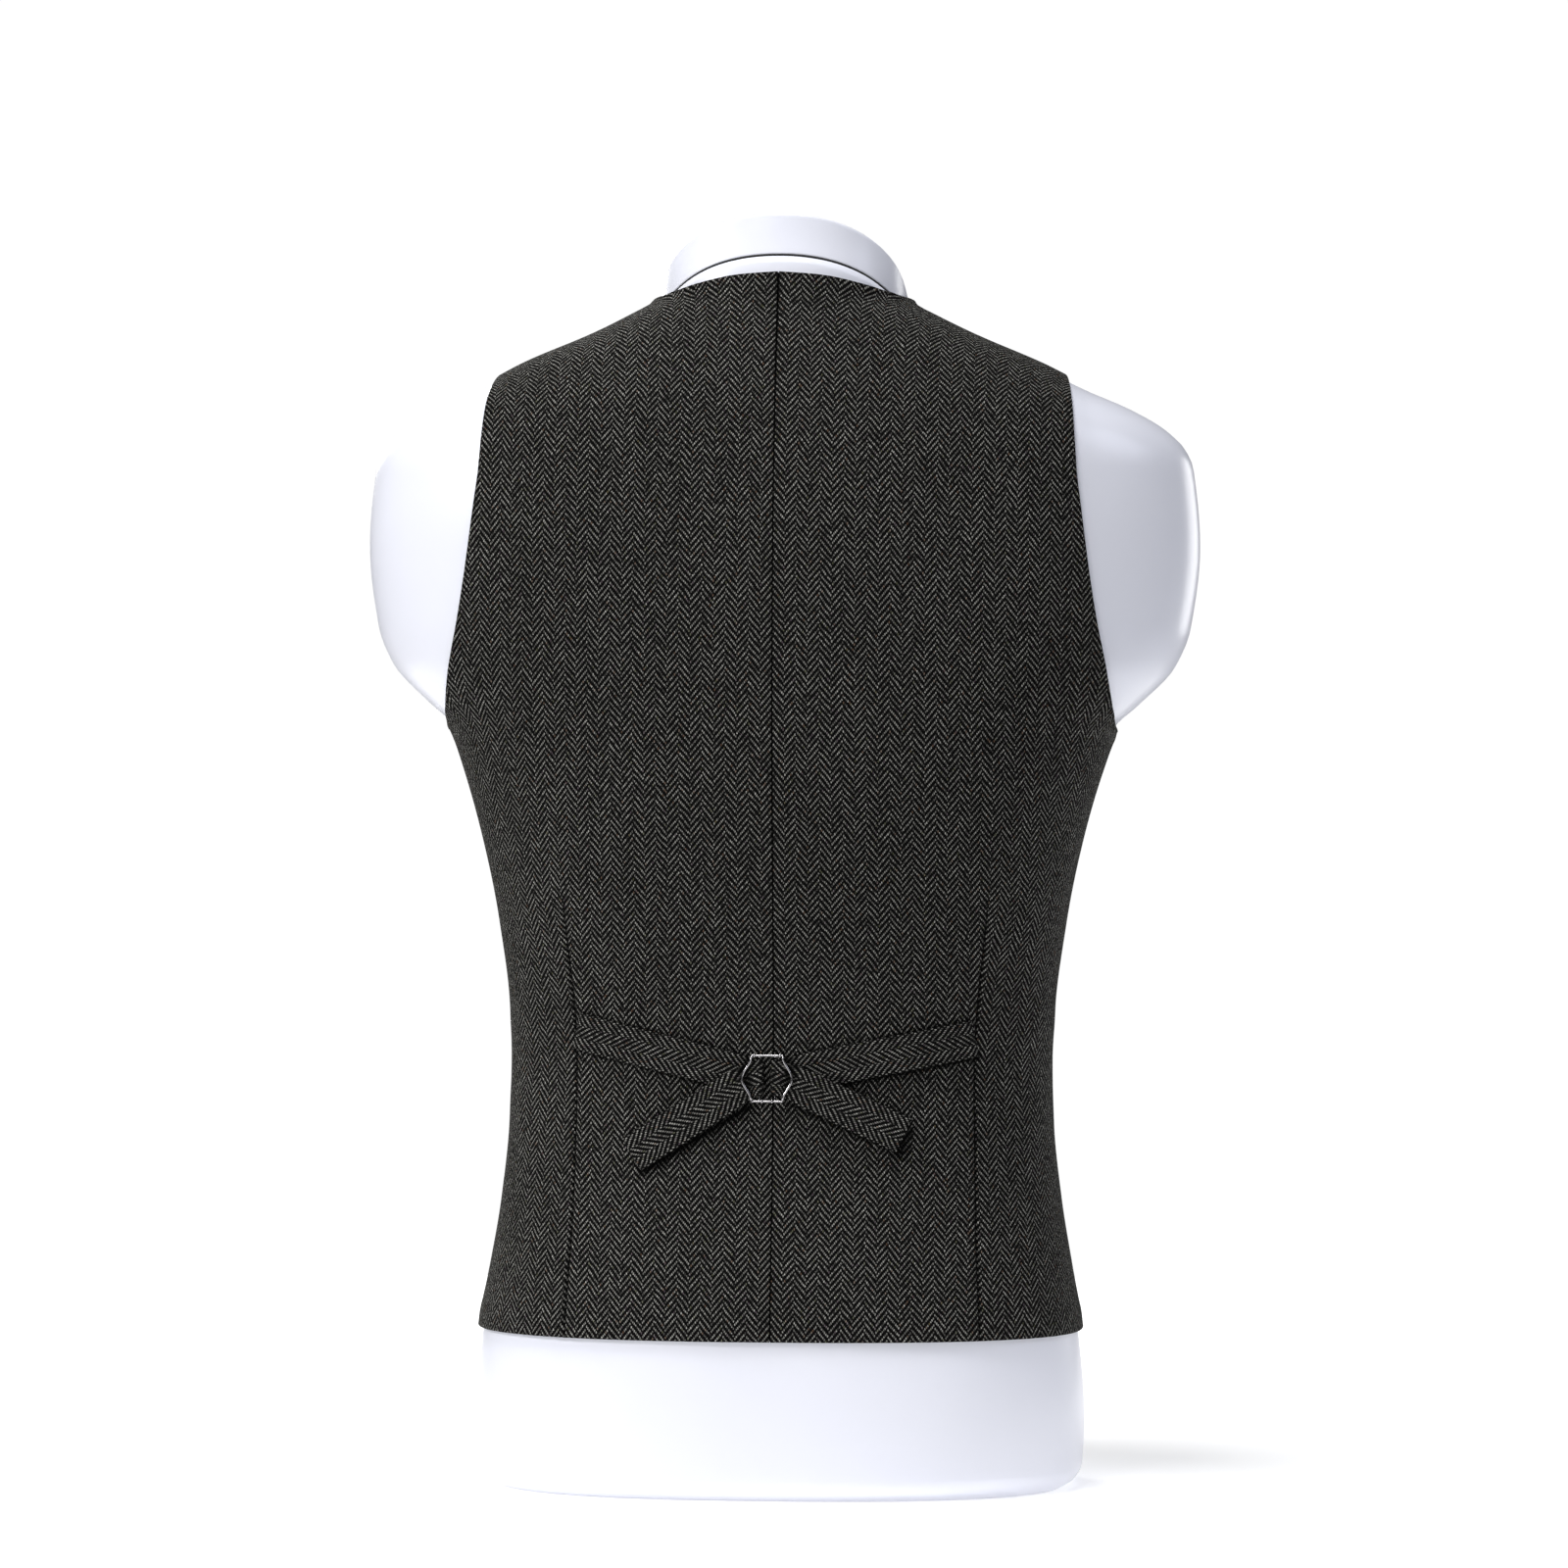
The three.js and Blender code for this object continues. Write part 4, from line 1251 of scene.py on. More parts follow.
    def turn_in(self, base: Array) -> Array:
        """Carry the panel on from the top of its sides, over the shoulder.

        Args:
            base: Points of the last row on the side.

        Returns:
            Rows of points up to the top edge.
        """
        tops = self.top_points(base[:, 0])
        top_angle = np.degrees(np.arctan2(tops[:, 2] - PIVOT, tops[:, 1] - float(MIDDLE(PIVOT))))
        first = 0.0 if self.is_back else 180.0
        late = 1 - np.array(EDGE_STEPS[::-1]) / 105
        turns = np.concatenate([np.linspace(0, late[0], self.turn_rows)[1:-1], late])[:, None]
        x = base[:, 0] * (1 - turns) + tops[:, 0] * turns
        upper = ray_point(x, first + (top_angle - first) * turns)
        upper[-1] = tops
        return upper

    def surface(self) -> dict[str, Array]:
        """Work out the panel's points on the form, row by row from its hem.

        Returns:
            Points and, for each, distances to the edges and cloth coordinates.
        """
        low = ARM_LOW + self.opening
        dense = np.concatenate([
            np.linspace(30, ARM_LOW, 150)[:-1],
            ARM_LOW + self.opening * np.linspace(0, 1, 40) ** 2,
            np.linspace(low, PIVOT, 50)[1:],
        ])
        plan = self.lay_out(dense)
        count = plan["angle"].shape[1]
        level = int(np.searchsorted(dense, 70.0))
        hem_x = ring_point(dense[level], plan["angle"][level])[:, 0]
        hem = (np.full(count, HEM_BACK) if self.is_back else HEM_FRONT(hem_x))[None, :]
        first = 7  # the even rows' height over the hem, past those beside its edge
        body = hem + first + (ARM_LOW - hem - first) * np.linspace(0, 1, self.low_rows)[:, None]
        beside = np.concatenate([
            ARM_LOW + self.opening * np.linspace(0, 1, 12)[1:, None] ** 2,
            np.linspace(low, PIVOT, self.high_rows)[1:, None],
        ])
        z = np.concatenate([
            hem + np.array(EDGE_STEPS)[:, None], body, np.repeat(beside, count, 1),
        ])

        def spread(table: Array) -> Array:
            """Read a table of even levels at the panel's own rows."""
            return np.stack([np.interp(z[:, c], dense, table[:, c]) for c in range(count)], 1)

        points = ring_point(z, spread(plan["angle"]))
        along = spread(plan["along"])
        # An edge that slants across the rows is nearer than the row measures it
        slope = np.interp(z[:, -1], dense, np.gradient(plan["along"][:, -1], dense))
        end = spread(plan["end"]) / np.sqrt(1 + slope ** 2)[:, None]
        edge_x = ring_point(dense, plan["angle"][:, 0])[:, 0]
        slope = np.interp(z[:, 0], dense, np.gradient(edge_x, dense))
        start = along / np.sqrt(1 + slope ** 2)[:, None]
        upper = self.turn_in(points[-1])
        rows = len(upper)
        turned = np.linspace(0, 1, rows)[:, None]
        # Cloth coordinates: across at the pivot's row, and up the cloth
        base_x = points[-1, :, 0]
        u_top = np.interp(upper[..., 0], base_x, along[-1])
        u_top += np.maximum(upper[..., 0] - base_x[-1], 0)
        rise = np.linalg.norm(np.diff(upper[..., 1:], axis=0, prepend=points[-1:, :, 1:]), axis=-1)
        depth = BACK(dense) if self.is_back else FRONT(dense)
        climb = np.cumsum(np.hypot(np.diff(dense), np.diff(depth)))
        v_low = np.interp(z, dense, np.concatenate([[0.0], climb]))
        left = np.flip(np.cumsum(np.flip(np.concatenate([rise[1:], np.zeros((1, count))]), 0), 0), 0)
        far = np.full((rows, count), FAR)
        return {
            "points": np.concatenate([points, upper]),
            "start": np.concatenate([start, np.repeat(start[-1:], rows, 0) * (1 - 0.2 * turned)]),
            "end": np.concatenate([end, np.repeat(end[-1:], rows, 0) * (1 - 0.1 * turned)]),
            "dart": np.concatenate([spread(plan["dart"]), far]),
            "hem": np.concatenate([z - hem, far]),
            "top": np.concatenate([np.full(z.shape, FAR), left]),
            "u": np.concatenate([along, u_top]),
            "v": np.concatenate([v_low, v_low[-1:] + np.cumsum(rise, 0)]),
        }

    def heights(self, s: dict[str, Array], dart_top: float) -> tuple[Array, Array]:
        """Work out how far the wall's two faces stand off the form.

        Args:
            s: The panel's surface.
            dart_top: Height at which the dart ends.

        Returns:
            Heights of the outer and of the inner face.
        """
        p = s["points"]
        creases = BACK_CREASES if self.is_back else FRONT_CREASES
        out = relief(p * np.array([self.wearer.value, 1, 1]), creases)
        # Creases die away towards seams, so that both sides of one still meet
        quiet = soft(s["start"] / (14 if self.is_back else 8))
        out = out * quiet * soft(s["end"] / 10) * soft(s["top"] / 12)
        out = out + bridge(p)
        if not self.is_back and self.wearer is Wearer.LEFT:
            out = out + lap_lift(p)
        roll = edge_roll(s["start"], 0.4 if self.is_back else self.fold)
        for edge in ("end", "hem", "top"):
            roll = np.maximum(roll, edge_roll(s[edge], self.fold))
        # A pressed dart sinks in between two puffs, and the hem is thicker where it is turned up
        fade = soft((dart_top - p[..., 2]) / 55)
        dart = fade * np.exp(-((s["dart"] / 0.75) ** 2))
        puff = 0.35 * fade * np.exp(-(((np.abs(s["dart"]) - 3.2) / 2.2) ** 2))
        bulk = 0.3 * np.exp(-(((s["hem"] - 9.0) / 4.0) ** 2))
        return AIR + WALL + out + bulk + puff - dart - roll, AIR + out * 0.85 + bulk + roll * 0.7

    def shade(self, s: dict[str, Array], dart_top: float) -> Array:
        """Work out how deep the painted shade is in the panel's dart and seams.

        Args:
            s: The panel's surface.
            dart_top: Height at which the dart ends.

        Returns:
            The shade, from 0 to 1.
        """
        z = s["points"][..., 2]
        near = np.exp(-((s["dart"] / 0.5) ** 2)) * soft((dart_top - z) / 8)
        if self.is_back:
            near = np.maximum(near, np.exp(-((s["start"] / 0.26) ** 2)))
        side_seam = np.where(z < ARM_LOW, s["end"], 9.0)
        return np.maximum(near, 0.8 * np.exp(-((side_seam / 0.3) ** 2)))

    def build(self, cloth: bpy.types.Material) -> bpy.types.Object:
        """Make the panel's mesh, dressed in its cloth.

        Args:
            cloth: Material of the cloth.

        Returns:
            The finished object.
        """
        s = self.surface()
        p, u, v = s["points"], s["u"], s["v"]
        n = normal_at(p)
        rows, count = p.shape[:2]
        dart_top = 335.0 if self.is_back else 370.0
        sign = self.wearer.value
        mirror = np.array([sign, 1, 1])
        flip = (sign > 0) == self.is_back
        quads = wall_faces(rows, count, flip)
        points = np.concatenate([
            ((p + n * height[..., None]) * mirror).reshape(-1, 3)
            for height in self.heights(s, dart_top)
        ])
        # The pattern is shifted beside the dart by the cloth that it takes in
        intake = (INTAKE_BACK if self.is_back else INTAKE_FRONT)(p[..., 2])
        beyond = np.tile(((s["dart"] > 1e-6) & (p[..., 2] < 400)).ravel(), 2)
        shifted = beyond[quads].any(axis=1)
        corner_u = np.tile(u.ravel(), 2)[quads]
        corner_u = corner_u + np.tile(intake.ravel(), 2)[quads] * shifted[:, None]
        corner_v = np.tile(v.ravel(), 2)[quads]
        uvs = np.stack([corner_u * sign, corner_v], -1).reshape(-1, 2) * MM
        # Painted shade: the dart and seams get the panel's own shade, the whole inner face half
        # shade, and the seam allowances full shade so they read dark in the seams' gaps
        near = self.shade(s, dart_top)
        painted_shade = np.concatenate([near.ravel(), np.full(near.size, 0.5)])
        for strip, faces in self.allowances(p, n):
            faces = faces + len(points)
            points = np.concatenate([points, strip * mirror])
            quads = np.concatenate([quads, faces if flip else faces[:, ::-1]])
            uvs = np.concatenate([uvs, np.zeros((faces.size, 2))])
            painted_shade = np.concatenate([painted_shade, np.ones(len(strip))])
        self.flat_area = self.cut_area(u + intake * (s["dart"] > 0), v)
        self.flat_size = (float(np.ptp(u + intake)) * MM, float(np.ptp(v)) * MM)
        return dress(make_mesh(f"{self.name}_cloth", points, quads.tolist(), uvs), cloth, painted_shade)

    def allowances(self, p: Array, n: Array) -> list[tuple[Array, Array]]:
        """Give the seam allowances that lie under the back's seams.

        Args:
            p: Surface points of the panel.
            n: Normals there.

        Returns:
            Points and faces of each closed strip.
        """
        if not self.is_back:
            return []
        # Rows and columns just inside an edge, whose direction carries on past it
        runs = [(p[3:-1, -1], p[3:-1, -13], n[3:-1, -1], p[3:-1, -1, 2] < ARM_LOW - 1)]
        if self.wearer is Wearer.LEFT:
            centre = p[3:-1, 0]
            runs.insert(0, (centre, p[3:-1, 12], n[3:-1, 0], np.full(len(centre), True)))
        strips = []
        past, under, low, high = self.fold + 1.2, 6, AIR - 0.75, AIR - 0.25
        for edge, inside, normal, kept in runs:
            away = (edge - inside)[kept]
            away /= np.linalg.norm(away, axis=-1, keepdims=True)
            line = np.stack([edge[kept] - away * under, edge[kept] + away * past], 1)
            strips.append(closed_strip(line, normal[kept][:, None], low, high))
        ridge = p[-1, 16:-12]
        away = ridge - p[-8, 16:-12]
        away /= np.linalg.norm(away, axis=-1, keepdims=True)
        line = np.stack([ridge + away * past, ridge - away * under], 1)
        strips.append(closed_strip(line, n[-1, 16:-12][:, None], low, high))
        return strips

    @staticmethod
    def cut_area(u: Array, v: Array) -> float:
        """Give the flat area between a grid's cloth coordinates.

        Args:
            u: Coordinates across, in millimetres.
            v: Coordinates up.

        Returns:
            The area in square metres.
        """
        du = np.diff(u, axis=1)
        dv = np.diff(v, axis=0)
        cell = np.abs((du[1:] + du[:-1]) / 2 * (dv[:, 1:] + dv[:, :-1]) / 2)
        return float(cell.sum()) * MM * MM


# Cinch straps and buckle

def over_back(x: Array, z: Array, height: Array) -> Array:
    """Give points over the back panels.

    Args:
        x: Places across in the back view.
        z: Heights of the places.
        height: How far each stands above the cloth.

    Returns:
        Points in the form's frame.
    """
    x, z, height = np.broadcast_arrays(*(np.asarray(a, float) for a in (x, z, height)))
    total = AIR + WALL + height

    def nearer(m: Array) -> Array:
        """Tell where points at angles m lie nearer the middle than x."""
        p = ring_point(z, m)
        return p[..., 0] + normal_at(p)[..., 0] * total < np.abs(x)

    angle = halving(np.zeros_like(z), np.full_like(z, BACK_SPAN[1]), nearer)
    p = ring_point(z, angle)
    p = p + normal_at(p) * total[..., None]
    return np.stack([np.sign(x) * p[..., 0], p[..., 1], z], -1)


@dataclass
class Strap:
    """One cinch strap, from its dart round the buckle's post to its loose end.

    Args:
        wearer: The wearer's left or right.
        start: Where it leaves its dart, across and up.
        tail_from: Where its loose part comes to lie straight.
        tail_end: Where it ends.
        swing: How far the end stands off further than the rest.
        across: Half the number of points round its section.
        length: Its length in metres, known once it is built.
    """

    wearer: Wearer
    start: tuple[float, float]
    tail_from: tuple[float, float]
    tail_end: tuple[float, float]
    swing: float
    across: int = 15
    length: float = field(init=False, default=0.0)

    def post(self) -> Array:
        """Give the place of the post that the strap goes round."""
        return np.array([BUCKLE_X + self.wearer.value * POST_X, BUCKLE_Z + 0.4])

    def contacts(self) -> list[Contact]:
        """List the painted shadows along the strap's edges, deeper below it than above it, and past
        its loose end.

        Returns:
            Lines on the back panels.
        """
        left = self.wearer is Wearer.LEFT
        post, start, tail = self.post(), np.array(self.start), np.array(self.tail_end)
        half = STRAP_WIDTH / 2
        lines = []
        for a, b, below, above in (
            (start, post + (start - post) * 0.12, (1.8, 0.6) if left else (2.6, 0.9), (1.3, 0.35)),
            (post + (tail - post) * 0.16, tail, (4.2, 0.97) if left else (2.0, 0.7), (1.3, 0.5)),
        ):
            run = (b - a) / np.linalg.norm(b - a)
            down = np.array([run[1], -run[0]])
            down = down if down[1] < 0 else -down
            for way, (width, depth) in ((1, below), (-1, above)):
                edge = down * way * (half + 0.15 * width)
                lines.append(Contact(tuple(a + edge), tuple(b + edge), width, depth))
            # Painted shadow cast past the loose end: faint for the left strap, broad and deep for the
            # right one
            if b is tail:
                width, depth = (1.2, 0.3) if left else (8.5, 0.9)
                past = b + run * (0.6 if left else 0.5)
                lines.append(Contact(tuple(past - down * half * 0.2), tuple(past + down * half * 0.9),
                                     width, depth))
        return lines

    def stations(self) -> Array:
        """List places along the strap's middle line.

        Returns:
            Rows of x, z, height over the cloth, pitch round the post and turn in the view.
        """
        side = self.wearer.value
        post, start = self.post(), np.array(self.start)
        tail_from, tail_end = np.array(self.tail_from), np.array(self.tail_end)
        low = STRAP_LOW + STRAP_THICK / 2
        high = STRAP_TAIL + STRAP_THICK / 2
        inward = (post - start) / np.linalg.norm(post - start)
        slope_in = math.atan2(inward[1], inward[0] * -side)
        rows: list[tuple[float, ...]] = []
        # From the dart to the post, then round it, then along the loose part
        for t in np.linspace(0, 0.985, 60):
            place = start + (post - start) * t
            turn = slope_in * (1 - float(soft((t - 0.8) / 0.2)))
            tucked = -1.0 * (1 - float(soft(t / 0.015)))
            wave = 0.35 * math.sin(t * 9 + side) * math.sin(t * math.pi)
            rows.append((place[0], place[1], low + tucked + max(wave, 0), 0.0, turn))
        radius = (high - low) / 2
        for bend in np.linspace(0, math.pi, 15):
            x = post[0] - side * radius * math.sin(bend)
            rows.append((x, post[1], (low + high) / 2 - radius * math.cos(bend), bend, 0.0))
        outward = (tail_end - tail_from) / np.linalg.norm(tail_end - tail_from)
        slope_out = math.atan2(-outward[1], outward[0] * side)
        for t in np.linspace(0.08, 1, 14):
            place = post + (tail_from - post) * t
            rows.append((place[0], place[1], high, math.pi, slope_out * float(soft(t) ** 1.3)))
        for t in np.linspace(0.02, 1, 46):
            place = tail_from + (tail_end - tail_from) * t
            height = high + self.swing * t ** 1.4 + 0.35 * math.sin(t * 7 + side) * t
            rows.append((place[0], place[1], height, math.pi, slope_out))
        return np.array(rows)

    def build(self, cloth: bpy.types.Material) -> bpy.types.Object:
        """Make the strap as a folded, flattened tube of cloth.

        Args:
            cloth: Material of the cloth.

        Returns:
            The finished object.
        """
        side = self.wearer.value
        table = self.stations()
        turns = circle(2 * self.across)
        # Section of a pressed tube: flat faces with round folded edges
        w = np.sign(np.cos(turns)) * np.abs(np.cos(turns)) ** 0.35
        f = np.sign(np.sin(turns)) * np.abs(np.sin(turns)) ** 0.55
        near = np.abs(table[:, 0] - BUCKLE_X)
        width = STRAP_WIDTH * (0.93 + 0.07 * soft((near - 16) / 8))
        end = np.ones(len(table))
        end[-3:] = (0.995, 0.985, 0.96)
        thick = STRAP_THICK * np.ones(len(table))
        thick[-3:] *= (0.95, 0.8, 0.45)
        pitch, turn = table[:, 3], table[:, 4]
        along = np.stack([-side * np.cos(turn), np.sin(turn)], -1)
        across = np.stack([-along[:, 1], along[:, 0]], -1) * side
        half_width = (width * end / 2)[:, None] * w[None, :]
        shift = (thick / 2)[:, None] * f[None, :]
        shift = shift + 0.16 * (1 - np.abs(w[None, :])) * np.sign(f[None, :])
        side_shift = -np.sin(pitch)[:, None] * shift
        x = table[:, 0:1] + across[:, 0:1] * half_width + along[:, 0:1] * side_shift
        z = table[:, 1:2] + across[:, 1:2] * half_width + along[:, 1:2] * side_shift
        height = table[:, 2:3] + np.cos(pitch)[:, None] * shift
        # The strap lies on the panel's own creases, and its lower fold stands off
        middle = over_back(table[:, 0], table[:, 1], np.zeros(len(table)))
        carried = np.maximum(relief(middle, BACK_CREASES), 0.0)
        upper = np.sign(across[:, 1:2]) * w[None, :]
        flat = np.cos(pitch / 2)[:, None] ** 2
        height = height + carried[:, None] + 0.5 * flat * (1 - upper) / 2
        rings = over_back(x, z, height)
        faces = ring_faces(len(table), len(turns)) + ring_caps(len(table), len(turns))
        steps = np.linalg.norm(np.diff(rings.mean(axis=1), axis=0), axis=-1)
        distance = np.concatenate([[0], np.cumsum(steps)])
        # The strap's middle runs down the middle of one stripe
        stripes = np.stack([half_width + 3.3, np.broadcast_to(distance[:, None], x.shape)], -1)
        uvs = stripes.reshape(-1, 2)[[corner for face in faces for corner in face]]
        name = f"cinch_{self.wearer.name.lower()}_strap"
        obj = make_mesh(name, rings.reshape(-1, 3), faces, uvs * MM)
        face_outward(obj)
        # Painted shade in the strap itself: deep where the buckle pinches it under its side wires, in
        # the bend round the post and along its folded edges
        buckle_shade = 0.92 * np.exp(-(((near - 11.3) / 2.5) ** 2))
        folded = 0.55 * np.sin(pitch) ** 2
        fold_edge_shade = 0.6 * np.clip((np.abs(w) - 0.93) / 0.07, 0, 1)
        shade = np.maximum(np.maximum(buckle_shade, folded)[:, None], fold_edge_shade[None, :])
        self.length = float(distance[-1]) * MM
        return dress(obj, cloth, shade.ravel())


class Tubes:
    """Round wires or threads gathered into one mesh."""

    def __init__(self, radius: float, sides: int) -> None:
        """Start with none.

        Args:
            radius: Half a tube's usual thickness.
            sides: Points round it.
        """
        self.radius = radius
        self.sides = sides
        self.points: list[Array] = []
        self.faces: list[tuple[int, ...]] = []

    def add(self, path: Array, share: Array | float = 1.0, closed: bool = False,
            aside: tuple[float, float, float] = (0.0, 1.0, 0.0)) -> None:
        """Make a round tube along a path.

        Args:
            path: Points of its middle line.
            share: Its radius as a share of the usual one, all along or at each point.
            closed: Whether it closes on itself.
            aside: A direction that the path never runs in.
        """
        after = np.roll(path, -1, 0) if closed else np.vstack([path[1:], path[-1:]])
        before = np.roll(path, 1, 0) if closed else np.vstack([path[:1], path[:-1]])
        along = after - before
        along /= np.linalg.norm(along, axis=1, keepdims=True)
        across = np.cross(np.array(aside), along)
        across /= np.linalg.norm(across, axis=1, keepdims=True)
        up = np.cross(along, across)
        turns = circle(self.sides)[None, :, None]
        radius = self.radius * np.broadcast_to(share, len(path))[:, None, None]
        first = sum(len(points) for points in self.points)
        ring = across[:, None] * np.cos(turns) + up[:, None] * np.sin(turns)
        self.points.append((path[:, None] + radius * ring).reshape(-1, 3))
        self.faces += ring_faces(len(path), self.sides, first, closed)
        if not closed:
            self.faces += ring_caps(len(path), self.sides, first)

    def place(self, name: str, material: bpy.types.Material,
              move: Callable[[Array], Array] = np.asarray) -> bpy.types.Object:
        """Make the object.

        Args:
            name: Name of the object.
            material: Material of the tubes.
            move: Moves the points into the form's frame, where they aren't in it.

        Returns:
            The finished object.
        """
        return dress(make_mesh(name, move(np.concatenate(self.points)), self.faces), material)


@dataclass
class Buckle:
    """The wire buckle: a bowed frame, two posts and the beads of its joints."""

    sides: int = 14
    bar_height: float = 4.8
    side_height: float = 6.5
    post_height: float = 3.1
    bead: float = 1.15
    bead_half: float = 0.9

    @staticmethod
    def at(x: Array, z: Array, height: Array) -> Array:
        """Give points over the back, from the buckle's middle."""
        return over_back(BUCKLE_X + x, BUCKLE_Z + z, height)

    def build(self, metal: bpy.types.Material) -> bpy.types.Object:
        """Make the buckle as one object.

        Args:
            metal: Material of the wire.

        Returns:
            The finished object.
        """
        top = BUCKLE_HEIGHT / 2 - BUCKLE_WIRE
        t = np.linspace(-1, 1, 33)
        bow = BAR_HALF + (BOW_HALF - BUCKLE_WIRE - BAR_HALF) * np.cos(t * math.pi / 2) ** 2.1
        rise = self.bar_height + (self.side_height - self.bar_height) * soft((1 - np.abs(t)) * 10)
        bar = np.linspace(-1, 1, 13)[1:-1]
        level = np.full_like(bar, self.bar_height)
        wires = Tubes(BUCKLE_WIRE, self.sides)
        wires.add(np.concatenate([
            self.at(-bow, -t * top, rise),
            self.at(bar * BAR_HALF, np.full_like(bar, -top), level),
            self.at(bow, t * top, rise),
            self.at(-bar * BAR_HALF, np.full_like(bar, top), level),
        ]), closed=True)
        s = np.linspace(-1, 1, 31)
        bent = soft((np.abs(s) - 0.84) / 0.16)
        height = self.post_height + (self.bar_height - self.post_height) * bent
        swell = np.sqrt(1 - np.linspace(-0.97, 0.97, 9) ** 2) * 1.05 * self.bead / BUCKLE_WIRE
        run = np.linspace(-self.bead_half, self.bead_half, len(swell))
        for side in (-1, 1):
            wires.add(self.at(np.full_like(s, side * POST_X), s * top, height), 0.9)
            for end in (-1, 1):
                x = side * (POST_X - 1.5 if end < 0 else BAR_HALF - 1.4)
                z = np.full_like(run, end * top)
                wires.add(self.at(x + run, z, np.full_like(run, self.bar_height)), swell)
        obj = wires.place("buckle_wire", metal)
        face_outward(obj)
        return obj


# Buttons, their thread and the worked holes

def button_heights() -> list[float]:
    """Give the heights of the buttons, the highest first."""
    return [BUTTON_TOP - number * BUTTON_PITCH for number in range(BUTTON_COUNT)]


@dataclass
class Button:
    """One four-hole button, sewn on through the closed fronts.

    Args:
        number: Its number from the top, from 0.
        steps: Points round it.
        dish: How deep its face is dished.
        hole_off: How far each hole is from its middle, across and up.
        hole_radius: Half a hole's width.
        shank: How far it stands off the cloth on its thread.
    """

    number: int
    steps: int = 48
    dish: float = 1.05
    hole_off: float = 1.7
    hole_radius: float = 0.85
    shank: float = 0.6

    def placed(self, local: Array) -> Array:
        """Move points from the button's own frame onto the front.

        Args:
            local: Points across, up and outward from the middle of its back.

        Returns:
            Points in the form's frame.
        """
        p = ring_point(button_heights()[self.number], 180.0)
        n = normal_at(p)
        origin = p + n * (AIR + WALL + LAP_LIFT + self.shank)
        across = np.array([1.0, 0.0, 0.0])
        up = np.cross(n, across)
        return origin + local[:, :1] * across + local[:, 1:2] * up + local[:, 2:3] * n

    def build(self, resin: bpy.types.Material) -> bpy.types.Object:
        """Make the button: a rolled rim, a dished face and four holes.

        Args:
            resin: Material of the button.

        Returns:
            The finished object.
        """
        r, t = BUTTON_RADIUS, BUTTON_THICK
        profile = [(r - 0.9, 0.0), (r - 0.3, 0.25), (r, 0.9), (r, t - 0.9), (r - 0.25, t - 0.3),
                   (r - 0.9, t), (r - 1.6, t - 0.12), (r - 2.3, t - 0.7), (r - 3.0, t - self.dish)]
        steps, turns = self.steps, circle(self.steps)
        points = [np.stack([q * np.cos(turns), q * np.sin(turns), np.full(steps, h)], -1)
                  for q, h in profile]
        faces = ring_faces(len(profile), steps)
        discs = 9
        # Back and face: a point in the middle, rings round it, and the profile's end ring
        for (radius, level), base, out in ((profile[0], 0, False),
                                           (profile[-1], (len(profile) - 1) * steps, True)):
            centre = sum(len(p) for p in points)
            points.append(np.array([[0.0, 0.0, level]]))
            for k in range(1, discs + 1):
                q = radius * k / (discs + 1)
                points.append(np.stack([q * np.cos(turns), q * np.sin(turns),
                                        np.full(steps, level)], -1))
            starts = [centre + 1 + k * steps for k in range(discs)] + [base]
            for c in range(steps):
                d = (c + 1) % steps
                cell = [(centre, starts[0] + c, starts[0] + d)]
                cell += [(a + c, b + c, b + d, a + d) for a, b in zip(starts, starts[1:])]
                faces += cell if out else [face[::-1] for face in cell]
        name = f"button_{self.number + 1}_disc"
        obj = make_mesh(name, self.placed(np.concatenate(points)), faces)
        face_outward(obj)
        self.drill(obj)
        return dress(obj, resin)

    def drill(self, obj: bpy.types.Object) -> None:
        """Cut the holes out of the button's mesh.

        Args:
            obj: The button, still whole.
        """
        sides = 16
        turns = circle(sides)
        points: list[Array] = []
        faces: list[tuple[int, ...]] = []
        for x in (-self.hole_off, self.hole_off):
            for y in (-self.hole_off, self.hole_off):
                first = len(points) * sides
                faces += ring_faces(2, sides, first) + ring_caps(2, sides, first)
                for level in (-2.0, BUTTON_THICK + 2.0):
                    points.append(np.stack([
                        x + self.hole_radius * np.cos(turns),
                        y + self.hole_radius * np.sin(turns), np.full(sides, level)], -1))
        cutter = make_mesh("cutter", self.placed(np.concatenate(points)), faces)
        face_outward(cutter)
        cut = obj.modifiers.new("holes", "BOOLEAN")
        cut.operation = "DIFFERENCE"
        cut.solver = "EXACT"
        cut.object = cutter
        bpy.context.view_layer.objects.active = obj
        bpy.ops.object.modifier_apply(modifier=cut.name)
        bpy.data.objects.remove(cutter, do_unlink=True)
        # The cut leaves slivers where a hole crosses an edge of the face
        work = bmesh.new()
        work.from_mesh(obj.data)
        bmesh.ops.remove_doubles(work, verts=work.verts, dist=SLIVER)
        bmesh.ops.dissolve_degenerate(work, edges=work.edges, dist=SLIVER)
        bmesh.ops.triangulate(work, faces=work.faces, ngon_method="BEAUTY")
        work.to_mesh(obj.data)
        work.free()

    def thread(self, yarn: bpy.types.Material) -> bpy.types.Object:
        """Make the sewing thread: two bars of three strands over the holes.

        Args:
            yarn: Material of the thread.

        Returns:
            The finished object.
        """
        threads = Tubes(0.2, 8)
        s = np.linspace(0, 1, 15)
        over = BUTTON_THICK - self.dish + 0.32 + 0.25 * np.sin(s * math.pi)
        over -= 1.5 * (1 - soft(s / 0.1)) + 1.5 * (1 - soft((1 - s) / 0.1))
        for x in (-self.hole_off, self.hole_off):
            for strand in (-0.45, 0.0, 0.45):
                y = self.hole_off * (2 * s - 1)
                threads.add(np.stack([np.full_like(s, x + strand), y, over], -1),
                            aside=(1.0, 0.0, 0.0))
        return threads.place(f"button_{self.number + 1}_thread", yarn, self.placed)

